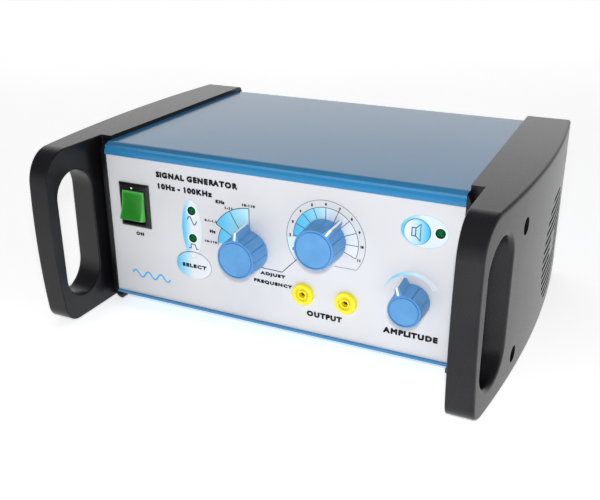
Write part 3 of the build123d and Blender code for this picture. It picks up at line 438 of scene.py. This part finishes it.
def key_film(name, stops):
    """Printed cap of a key, faded across the flat part of its own width."""
    low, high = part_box(name)
    return faded(name + "_film", low.x / MM + KEY_ROUNDING, high.x / MM - KEY_ROUNDING, stops)


films = {
    "select_key": key_film("select_key", [(0.0, SKY), (0.28, PALE), (0.5, WHITE), (1.0, WHITE)]),
    "speaker_key": key_film("speaker_key", [(0.2, GREY), (0.55, PALE), (0.95, SKY), (1.0, SKY)]),
    "led_bezels": lamp_rim(),
}
for part in frame["record"]["subparts"]:
    cad = frame["nodes"][part["node"]]
    cad.data.materials.clear()
    cad.data.materials.append(films.get(part["node"]) or finishes[part["material_slot"]])


# ---- artwork -------------------------------------------------------------------------------------
def place_piece(name, mesh, material, body):
    """Puts a finished mesh into the scene and lets it ride its body."""
    made = bpy.data.objects.new(name, mesh)
    bpy.context.scene.collection.objects.link(made)
    mesh.materials.append(material)
    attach(made, body)


def tidy_normals(mesh):
    """Turns every face outwards."""
    work = bmesh.new()
    work.from_mesh(mesh)
    bmesh.ops.recalc_face_normals(work, faces=work.faces)
    work.to_mesh(mesh)
    work.free()


class Print:
    """Thin printed shapes that share a face, a layer and an ink."""

    def __init__(self, face, layer=0):
        self.back = face - layer * INK
        self.front = self.back - INK
        self.points = []
        self.faces = []

    def band(self, left, right, closed=False):
        """Strip between two lines of (x, z) points."""
        first = len(self.points)
        for a, b in zip(left, right):
            for (x, z), y in ((a, self.front), (b, self.front), (a, self.back), (b, self.back)):
                self.points.append((x * MM, y, z * MM))
        count = len(left)
        for i in range(count if closed else count - 1):
            p, q = first + 4 * i, first + 4 * ((i + 1) % count)
            self.faces += [(p, p + 1, q + 1, q), (p + 2, q + 2, q + 3, p + 3),
                           (p, q, q + 2, p + 2), (p + 1, p + 3, q + 3, q + 1)]
        if not closed:
            last = first + 4 * (count - 1)
            self.faces += [(first, first + 2, first + 3, first + 1),
                           (last, last + 1, last + 3, last + 2)]

    def line(self, points, width, closed=False):
        """Stroke of even width along (x, z) points."""
        left, right = [], []
        count = len(points)
        for i, (x, z) in enumerate(points):
            before = points[i - 1] if closed or i else points[0]
            after = points[(i + 1) % count] if closed or i < count - 1 else points[-1]
            first = Vector((x - before[0], z - before[1]))
            second = Vector((after[0] - x, after[1] - z))
            first = first.normalized() if first.length else second.normalized()
            second = second.normalized() if second.length else first
            along = (first + second).normalized()
            side = Vector((-along.y, along.x)) * (width / 2) / max(0.5, along.dot(second))
            left.append((x + side.x, z + side.y))
            right.append((x - side.x, z - side.y))
        self.band(left, right, closed)

    def plate(self, outline):
        """Filled convex outline of (x, z) points."""
        first, count = len(self.points), len(outline)
        for y in (self.front, self.back):
            self.points += [(x * MM, y, z * MM) for x, z in outline]
        self.faces.append(tuple(range(first, first + count)))
        self.faces.append(tuple(range(first + 2 * count - 1, first + count - 1, -1)))
        for i in range(count):
            j = (i + 1) % count
            self.faces.append((first + i, first + count + i, first + count + j, first + j))

    def finish(self, name, material, body="case"):
        """Makes one piece of all the shapes."""
        mesh = bpy.data.meshes.new(name)
        mesh.from_pydata(self.points, [], self.faces)
        mesh.validate()
        tidy_normals(mesh)
        place_piece(name, mesh, material, body)


def around(centre, radii, start_angle=0.0, end_angle=360.0, steps=72):
    """Points on an ellipse, angles in degrees from +X towards +Z."""
    rx, rz = radii if isinstance(radii, tuple) else (radii, radii)
    span = end_angle - start_angle
    count = steps if abs(span) >= 360.0 else steps + 1
    angles = [math.radians(start_angle + span * i / steps) for i in range(count)]
    return [(centre[0] + rx * math.cos(a), centre[1] + rz * math.sin(a)) for a in angles]


def at_angle(centre, radius, angle):
    """Point at a distance from a centre, its angle in degrees from +X towards +Z."""
    return (centre[0] + radius * math.cos(math.radians(angle)),
            centre[1] + radius * math.sin(math.radians(angle)))


def wave(x, z, height, length, step, count, phase=0.0):
    """Points along a sine line that starts at x."""
    return [(x + i * step, z + height * math.sin(i * step * math.tau / length + phase))
            for i in range(count)]


def outside(outline, centre, radii):
    """Points of a line that lie outside an ellipse."""
    return [p for p in outline
            if ((p[0] - centre[0]) / radii[0]) ** 2 + ((p[1] - centre[1]) / radii[1]) ** 2 > 1]


def clipped(outline, fence):
    """The part of one convex outline inside another; both run anticlockwise."""
    kept = outline
    for i, (x0, z0) in enumerate(fence):
        x1, z1 = fence[(i + 1) % len(fence)]

        def depth(point):
            return (x1 - x0) * (point[1] - z0) - (z1 - z0) * (point[0] - x0)

        result = []
        for j, point in enumerate(kept):
            before = kept[j - 1]
            a, b = depth(before), depth(point)
            if a * b < 0:
                share = a / (a - b)
                result.append((before[0] + share * (point[0] - before[0]),
                               before[1] + share * (point[1] - before[1])))
            if b >= 0:
                result.append(point)
        kept = result
    return kept


def islands(work):
    """Vertices of each separate letter, from left to right."""
    left_over, found = set(work.verts), []
    while left_over:
        group, edge = set(), [left_over.pop()]
        while edge:
            vert = edge.pop()
            group.add(vert)
            for link in vert.link_edges:
                other = link.other_vert(vert)
                if other in left_over:
                    left_over.remove(other)
                    edge.append(other)
        found.append(group)
    return sorted(found, key=lambda group: min(v.co.x for v in group))


LETTER_WIDTH = 0.84             # letters are narrowed, which leaves room for their thick strokes
SMALLEST_FACE = 1e-7            # smaller ones are the font's degenerate triangles
ONE_FLAG = [(0.02, 0.0), (-0.13, -0.12), (-0.13, -0.19), (0.02, -0.11)]     # from its top left
STROKE_OVERLAP = 0.4            # strokes run past their corners by this share of their half width


def letter_shapes(text):
    """Filled letters of a text as flat polygons, and the edges of their outlines."""
    font = bpy.data.curves.new("draft", "FONT")
    font.body = text
    font.resolution_u = 3
    draft = bpy.data.objects.new("draft", font)
    bpy.context.scene.collection.objects.link(draft)
    bpy.context.view_layer.update()
    depsgraph = bpy.context.evaluated_depsgraph_get()
    mesh = bpy.data.meshes.new_from_object(draft.evaluated_get(depsgraph))
    bpy.data.objects.remove(draft)
    work = bmesh.new()
    work.from_mesh(mesh)
    bmesh.ops.remove_doubles(work, verts=work.verts, dist=0.0005)
    work.verts.index_update()
    faces = [[v.index for v in f.verts] for f in work.faces if f.calc_area() > SMALLEST_FACE]
    edges = [(e.verts[0].index, e.verts[1].index) for e in work.edges if len(e.link_faces) == 1]
    groups = islands(work)
    for group in groups:
        centre = (min(v.co.x for v in group) + max(v.co.x for v in group)) / 2
        for v in group:
            v.co.x = centre + LETTER_WIDTH * (v.co.x - centre)
    points = [v.co.to_2d() for v in work.verts]
    for letter, group in zip(text.replace(" ", ""), groups):
        if letter == "1":
            x, top = min(v.co.x for v in group), max(v.co.y for v in group)
            first = len(points)
            points += [Vector((x + across, top + up)) for across, up in ONE_FLAG]
            faces.append([first, first + 1, first + 2, first + 3])
    work.free()
    bpy.data.meshes.remove(mesh)
    return points, faces, edges


def stamped(name, shapes, holes, material, body="case", face=PANEL_FACE, layer=0):
    """Thin print in the shape of several flat polygons together, less its holes."""
    points, faces = [], []
    for outline in shapes + holes:
        faces.append(list(range(len(points), len(points) + len(outline))))
        points += [Vector(point) for point in outline]
    flat, _, triangles, _, _, sources = delaunay_2d_cdt(points, [], faces, 0, 1e-5, True)
    back = face - layer * INK
    work = bmesh.new()
    corners = [work.verts.new((p.x * MM, back, p.y * MM)) for p in flat]
    for triangle, source in zip(triangles, sources):
        if source and max(source) < len(shapes):
            work.faces.new([corners[i] for i in triangle])
    bmesh.ops.delete(work, geom=[v for v in work.verts if not v.link_faces], context="VERTS")
    bmesh.ops.dissolve_limit(work, angle_limit=0.001, verts=work.verts, edges=work.edges)
    raised = bmesh.ops.extrude_face_region(work, geom=list(work.faces))
    for item in raised["geom"]:
        if isinstance(item, bmesh.types.BMVert):
            item.co.y = back - INK
    bmesh.ops.triangulate(work, faces=work.faces)
    bmesh.ops.recalc_face_normals(work, faces=work.faces)
    mesh = bpy.data.meshes.new(name)
    work.to_mesh(mesh)
    work.free()
    place_piece(name, mesh, material, body)


def lettering(name, text, left, right, low, high, body="case", face=PANEL_FACE, layer=2,
              weight=BOLD):
    """Bold printed word fitted to a box on the panel: every outline is thickened by a stroke."""
    points, faces, edges = letter_shapes(text)
    grow = weight * (high - low)
    xs, zs = [p.x for p in points], [p.y for p in points]
    scale_x = (right - left - 2 * grow) / (max(xs) - min(xs))
    scale_z = (high - low - 2 * grow) / (max(zs) - min(zs))
    points = [Vector((left + grow + (p.x - min(xs)) * scale_x,
                      low + grow + (p.y - min(zs)) * scale_z)) for p in points]
    shapes = [[points[i] for i in corners] for corners in faces]
    for a, b in edges:
        along = (points[b] - points[a]).normalized() * grow
        side = Vector((-along.y, along.x))
        start_at, end_at = points[a] - along * STROKE_OVERLAP, points[b] + along * STROKE_OVERLAP
        shapes.append([start_at - side, end_at - side, end_at + side, start_at + side])
    stamped(name, shapes, [], text_ink, body, face, layer)


text_ink = ink("text_ink", (0.004, 0.004, 0.007, 1), (0.010, 0.010, 0.016, 1))
line_ink = ink("line_ink", tone(52, 52, 62), tone(72, 72, 84))
thin_ink = ink("thin_ink", tone(122, 122, 132), tone(142, 142, 152))
edge_ink = ink("edge_ink", tone(176, 206, 224), tone(192, 216, 230))
halo_ink = ink("halo_ink", tone(250, 250, 253), tone(255, 255, 255))
cyan_ink = ink("cyan_ink", tone(40, 168, 226), tone(62, 186, 238))

# Title and names of the controls.
lettering("title_upper", "SIGNAL GENERATOR", -82.2, -21.7, 98.5, 102.7)
lettering("title_lower", "10Hz - 100KHz", -82.0, -40.3, 90.7, 94.8)
lettering("switch_label", "ON", -101.7, -95.4, 54.7, 57.4)
lettering("adjust_label", "ADJUST", -6.7, 11.0, 43.4, 46.3)
lettering("frequency_label", "FREQUENCY", -11.5, 15.7, 37.5, 40.3)
lettering("output_label", "OUTPUT", 26.0, 50.0, 21.3, 25.3)
lettering("amplitude_label", "AMPLITUDE", 77.1, 111.3, 21.4, 25.5)
lettering("select_label", "SELECT", -65.2, -46.5, 38.9, 41.7, "select_button", SELECT_FACE, 1)

# Plain wave in the corner of the panel.
mark = Print(PANEL_FACE)
mark.line(wave(-107.5, 25.6, 2.3, 10.4, 0.25, 125), 1.15)
mark.finish("wave_mark", cyan_ink)

# Range fan.
FAN_HOLE, FAN_NEAR, FAN_FAR = 8.0, 23.3, 27.9
range_axis = axis_of("range_turn")
range_centre = (range_axis[0] + 0.6, range_axis[1])
fan_film = faded("fan_film", -43.0, -12.0,
                 [(0.0, SKY), (0.3, tone(84, 198, 246)), (0.62, tone(150, 220, 244)),
                  (1.0, tone(196, 236, 246))])
fan = Print(PANEL_FACE)
fan.band(around(range_centre, FAN_HOLE, 178, 150, 12), around(range_centre, FAN_NEAR, 178, 150, 12))
fan.band(around(range_centre, FAN_HOLE, 150, 90, 24), around(range_centre, FAN_FAR, 150, 90, 24))
fan.finish("range_fan", fan_film)
fan_lines = Print(PANEL_FACE, 1)
fan_lines.line(around(range_centre, FAN_NEAR, 182, 150, 12), 0.45)
fan_lines.line(around(range_centre, FAN_FAR, 150, 90, 24), SCALE_LINE)
for angle in (150, 120, 90):
    fan_lines.line([at_angle(range_centre, r, angle) for r in (FAN_HOLE + 1, FAN_FAR)],
                   SCALE_LINE)
fan_lines.finish("range_fan_lines", line_ink)
for name, text, left, right, low, high in (
        ("range_10_110_hz", "10-110", -47.5, -38.1, 59.2, 60.9),
        ("range_hz", "Hz", -43.2, -38.8, 66.3, 68.7),
        ("range_0_1_1_1", "0.1-1.1", -46.7, -37.9, 73.8, 75.5),
        ("range_khz", "KHz", -37.9, -31.3, 87.4, 89.9),
        ("range_1_11", "1-11", -31.7, -25.8, 84.4, 86.2),
        ("range_10_110_khz", "10-110", -19.2, -9.6, 88.3, 90.1)):
    lettering(name, text, left, right, low, high, weight=SMALL_BOLD)

# Frequency dial.
DIAL_RIM, DIAL_FIGURES, DIAL_SCALE, DIAL_HOLE = 25.8, 23.5, 21.3, 9.0
DIAL_CHORD = 15.6                                   # the rim's flat side, below the middle
FIRST_TICK, TICK_STEP, LAST_FIGURE = 202.5, 22.5, 11    # degrees from +X, figures 1 to 11
LONG_TICK = 22.6                                    # the line at the figure 7
frequency_axis = axis_of("frequency_turn")
dial = (frequency_axis[0], frequency_axis[1] - 0.7)
tick_at = {number: FIRST_TICK - TICK_STEP * (number - 1) for number in range(1, LAST_FIGURE + 1)}
dial_film = faded("dial_film", dial[0] - DIAL_SCALE, dial[0] + 6.0,
                  [(0.0, SKY), (0.28, tone(92, 204, 247)), (0.55, tone(158, 226, 249)),
                   (0.8, tone(214, 240, 252)), (1.0, WHITE)])
sectors = Print(PANEL_FACE)
sectors.band(around(dial, DIAL_HOLE, 182, -22.5, 60), around(dial, DIAL_SCALE, 182, -22.5, 60))
sectors.finish("frequency_sectors", dial_film)
pale_film = ink("pale_film", tone(206, 232, 248), tone(216, 238, 250))
pale = Print(PANEL_FACE)
pale.band(around(dial, DIAL_SCALE - 6, 216, 184, 16), around(dial, DIAL_RIM, 216, 184, 16))
pale.finish("frequency_start", pale_film)
ticks = Print(PANEL_FACE, 1)
ticks.line(around(dial, DIAL_SCALE, 182, -22.5, 60), 0.35)
for number, angle in tick_at.items():
    reach = LONG_TICK if number == 7 else DIAL_SCALE
    ticks.line([at_angle(dial, r, angle) for r in (DIAL_HOLE + 1, reach)], 0.42)
ticks.finish("frequency_ticks", line_ink)
rim = Print(PANEL_FACE, 1)
chord = -math.degrees(math.asin(DIAL_CHORD / DIAL_RIM))
rim.line(around(dial, DIAL_RIM, 220, chord, 90), 0.4)
rim.line([(dial[0] + DIAL_RIM * math.cos(math.radians(chord)), dial[1] - DIAL_CHORD),
          (dial[0] + 6, dial[1] - DIAL_CHORD)], 0.4)
rim.finish("frequency_rim", thin_ink)
for number, angle in tick_at.items():
    x, z = at_angle(dial, DIAL_FIGURES, angle)
    half = 1.15 if number > 9 else 0.5 if number == 1 else 0.62    # half width of the figure
    lettering(f"frequency_{number}", str(number), x - half, x + half, z - 0.95, z + 0.95,
              weight=SMALL_BOLD)
pointer = Print(PANEL_FACE)
pointer.line([(-6.3, 48.7), (8.75, 48.3), (19.0, 59.0)], 0.55)
pointer.finish("adjust_line", line_ink)

# Amplitude crescent.
level = axis_of("amplitude_turn")
crescent_film = faded("crescent_film", level[0] - 17.6, level[0] + 8.0,
                      [(0.0, tone(120, 210, 244)), (0.25, tone(110, 208, 242)),
                       (0.5, tone(176, 232, 247)), (0.75, tone(226, 243, 251)), (1.0, WHITE)])
CRESCENT_START, CRESCENT_END, CRESCENT_STEPS = 165, 33, 40      # degrees from +X
CRESCENT_RIM, CRESCENT_TIP, CRESCENT_WIDENING = 18.2, 18.0, 4.2 # radius outside, inside, its change
outer = around(level, CRESCENT_RIM, CRESCENT_START, CRESCENT_END, CRESCENT_STEPS)
turn = CRESCENT_START - CRESCENT_END
inner = [at_angle(level, CRESCENT_TIP - CRESCENT_WIDENING * i / CRESCENT_STEPS,
                  CRESCENT_START - turn * i / CRESCENT_STEPS) for i in range(CRESCENT_STEPS + 1)]
crescent = Print(PANEL_FACE)
crescent.band(inner, outer)
crescent.finish("amplitude_crescent", crescent_film)
crescent_edge = Print(PANEL_FACE, 1)
crescent_edge.line(outer + inner[::-1], 0.25, True)
crescent_edge.finish("amplitude_edge", edge_ink)

# Lamp column and its symbols.
lamp_centre, lamp_half = (-56.6, 66.5), (7.6, 20.2)
lamp_film = faded("lamp_film", lamp_centre[0] - lamp_half[0], lamp_centre[0] + lamp_half[0],
                  [(0.0, tone(58, 180, 242)), (0.2, tone(120, 208, 248)),
                   (0.48, tone(226, 233, 239)), (1.0, WHITE)])
lamp_outline = around(lamp_centre, lamp_half, steps=96)
select_centre = middle("select_key")
select_outline = around(select_centre, (12.7, 9.1), steps=96)  # flat part of the key's cap
lamp_holes = [around(spot, LAMP_OPENING, steps=40) for spot in LAMPS]
stamped("lamp_column", [lamp_outline],
        lamp_holes[:2] + [around(select_centre, SELECT_OPENING, steps=96)], lamp_film)
column_edge = Print(PANEL_FACE, 1)
column_edge.line(outside(around(lamp_centre, lamp_half, -90, 270, 96), select_centre,
                         SELECT_OPENING), OUTLINE)
column_edge.finish("lamp_column_edge", edge_ink)
column_foot = Print(SELECT_FACE)
column_foot.plate(clipped(lamp_outline, select_outline))
column_foot.finish("lamp_column_foot", lamp_film, "select_button")
foot_edge = Print(SELECT_FACE, 1)
foot_arc = around(lamp_centre, lamp_half, 180, 360, 96)
beyond_key = outside(foot_arc, select_centre, (12.4, 8.8))
foot_edge.line([p for p in foot_arc if p not in beyond_key], OUTLINE)
foot_edge.finish("lamp_column_foot_edge", edge_ink, "select_button")
symbols = Print(PANEL_FACE, 2)
symbols.line(wave(-59.9, 72.4, 2.7, 7.2, 0.185, 40, 0.1), SYMBOL_LINE)
symbols.line([(-59.8, 52.8), (-58.2, 52.8), (-58.0, 55.8), (-54.9, 55.8), (-54.1, 52.8),
              (-52.4, 52.6)], SYMBOL_LINE)
symbols.finish("waveform_symbols", line_ink)
HALO_INSIDE, HALO_OUTSIDE = 3.05, 3.7
halos = Print(PANEL_FACE, 2)
for spot in LAMPS:
    halos.band(around(spot, HALO_INSIDE, steps=40), around(spot, HALO_OUTSIDE, steps=40), True)
halos.finish("lamp_halos", halo_ink)

# Loudspeaker key.
speaker_centre = middle("speaker_key")
field_centre, field_half = (98.6, 91.1), (14.0, 9.9)
field_film = faded("field_film", field_centre[0] - field_half[0], field_centre[0] + field_half[0],
                   [(0.0, SKY), (0.2, tone(120, 212, 247)), (0.45, tone(214, 228, 238)),
                    (1.0, GREY)])
stamped("speaker_field", [around(field_centre, field_half, steps=96)],
        [lamp_holes[2], around(speaker_centre, SPEAKER_OPENING, steps=72)], field_film)
field_edge = Print(PANEL_FACE, 1)
field_edge.line(around(field_centre, field_half, steps=96), OUTLINE, True)
field_edge.finish("speaker_field_edge", edge_ink)
icon = Print(SPEAKER_FACE)
x, z = speaker_centre
icon.line([(x - 2.9, z + 2.5), (x - 0.7, z + 2.5), (x - 0.7, z - 2.5), (x - 2.9, z - 2.5)],
          0.55, True)
icon.line([(x - 0.7, z + 2.3), (x + 2.2, z + 5.1), (x + 2.2, z - 5.1), (x - 0.7, z - 2.3)], 0.55)
icon.finish("speaker_icon", line_ink, "speaker_button")

# White mark on the switch bezel.
switch_centre = middle("switch_housing")
dot = Print(BEZEL_FACE)
dot.plate(around((switch_centre[0] - 0.8, switch_centre[1] + 12.4), 0.65, steps=24))
dot.finish("switch_dot", halo_ink)


# Painted shade: dark blocks in the slits between the case and the cheeks.
SLIT_SHADE_NEAR, SLIT_SHADE_FAR, SLIT_SHADE_AHEAD = 0.2 * MM, 1.4 * MM, 3.0 * MM      # from the rear panel's corner
SLIT_SHADE_IN_CHEEK = 2.9 * MM            # from the cheek's rear face, just inside its 3 mm wall


def cheek_seal(name, side):
    """Dark block behind the slit between the rear panel and a cheek, which keeps light out: painted shade, so the
    slit reads dark.
    """
    low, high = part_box("rear_panel")
    near, far = high.x + SLIT_SHADE_NEAR, high.x + SLIT_SHADE_FAR
    ahead, behind = high.y - SLIT_SHADE_AHEAD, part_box("right_cheek")[1].y - SLIT_SHADE_IN_CHEEK
    corners = [(side * x, y, z)
               for z in (low.z, high.z) for y in (ahead, behind) for x in (near, far)]
    mesh = bpy.data.meshes.new(name)
    mesh.from_pydata(corners, [], [(0, 1, 3, 2), (4, 6, 7, 5), (0, 4, 5, 1), (2, 3, 7, 6),
                                   (0, 2, 6, 4), (1, 5, 7, 3)])
    tidy_normals(mesh)
    # Painted shade: a black block where the slit shows only shade.
    place_piece(name, mesh, finishes["black_rubber"], "case")


cheek_seal("right_slit_shade", 1)
cheek_seal("left_slit_shade", -1)


# ---- floor, lights and camera --------------------------------------------------------------------
def floor_material():
    return grained("floor", (0.88, 0.88, 0.88, 1), (0.92, 0.92, 0.92, 1), 40, 0.0002, (0.75, 0.9),
                   3, Emission_Color=(1.0, 1.0, 1.0, 1.0), Emission_Strength=0.6)


FLOOR_HALF = 6.0                # the floor's half size in metres
floor_mesh = bpy.data.meshes.new("floor")
floor_corners = [(x * FLOOR_HALF, y * FLOOR_HALF, 0)
                 for x, y in ((-1, -1), (1, -1), (1, 1), (-1, 1))]
floor_mesh.from_pydata(floor_corners, [], [(0, 1, 2, 3)])
floor = bpy.data.objects.new("floor", floor_mesh)
floor_mesh.materials.append(floor_material())
bpy.context.scene.collection.objects.link(floor)


def soft_light(name, place, target, size, power, mirrored=True):
    """Rectangular light turned towards a point; glossy surfaces show it only if mirrored."""
    data = bpy.data.lights.new(name, "AREA")
    data.shape = "RECTANGLE"
    data.size, data.size_y = size
    data.energy = power
    lamp = bpy.data.objects.new(name, data)
    lamp.location = place
    lamp.rotation_euler = (Vector(target) - Vector(place)).to_track_quat("-Z", "Y").to_euler()
    lamp.visible_glossy = mirrored
    bpy.context.scene.collection.objects.link(lamp)


# The key light stands just above the camera; the wide back light shows in the top cover.
soft_light("key_light", (0.20, -0.465, 0.305), (0.0, -0.05, 0.06), (0.035, 0.035), 1.4,
           mirrored=False)
soft_light("back_light", (-0.85, 1.75, 0.85), (0.0, 0.05, 0.10), (3.0, 1.3), 9.2)

HORIZON, OVERHEAD, OVERHEAD_FROM = 0.85, 0.2, 0.45  # two strengths, and the sine of a height
world = bpy.data.worlds.new("studio")
world.use_nodes = True
tree = world.node_tree
direction = tree.nodes.new("ShaderNodeTexCoord")
height = tree.nodes.new("ShaderNodeSeparateXYZ")
fall = tree.nodes.new("ShaderNodeMapRange")
fall.interpolation_type = "SMOOTHSTEP"
for key, value in (("From Min", 0.0), ("From Max", OVERHEAD_FROM),
                   ("To Min", HORIZON), ("To Max", OVERHEAD)):
    fall.inputs[key].default_value = value
tree.links.new(direction.outputs["Generated"], height.inputs["Vector"])
tree.links.new(height.outputs["Z"], fall.inputs["Value"])
tree.links.new(fall.outputs["Result"], tree.nodes["Background"].inputs["Strength"])
tree.nodes["Background"].inputs["Color"].default_value = (1.0, 1.0, 1.0, 1.0)
bpy.context.scene.world = world
bpy.context.scene.view_settings.view_transform = "Standard"

CAMERA_PLACE = Vector((0.20505, -0.46712, 0.25519))
CAMERA_TURN, CAMERA_DIP = math.radians(24.753), math.radians(23.327)
CAMERA_ROLL = math.radians(0.133)
ahead = Vector((-math.sin(CAMERA_TURN) * math.cos(CAMERA_DIP),
                math.cos(CAMERA_TURN) * math.cos(CAMERA_DIP), -math.sin(CAMERA_DIP)))
level_right = Vector((math.cos(CAMERA_TURN), math.sin(CAMERA_TURN), 0.0))
level_up = level_right.cross(ahead)
right = level_right * math.cos(CAMERA_ROLL) + level_up * math.sin(CAMERA_ROLL)
up = level_up * math.cos(CAMERA_ROLL) - level_right * math.sin(CAMERA_ROLL)
camera_data = bpy.data.cameras.new("camera")
camera_data.lens = 46.575
camera_data.sensor_width = 36.0
camera_data.clip_start = 0.01
camera = bpy.data.objects.new("camera", camera_data)
turned = Matrix((right, up, -ahead)).transposed().to_4x4()
camera.matrix_world = Matrix.Translation(CAMERA_PLACE) @ turned
bpy.context.scene.collection.objects.link(camera)
bpy.context.scene.camera = camera
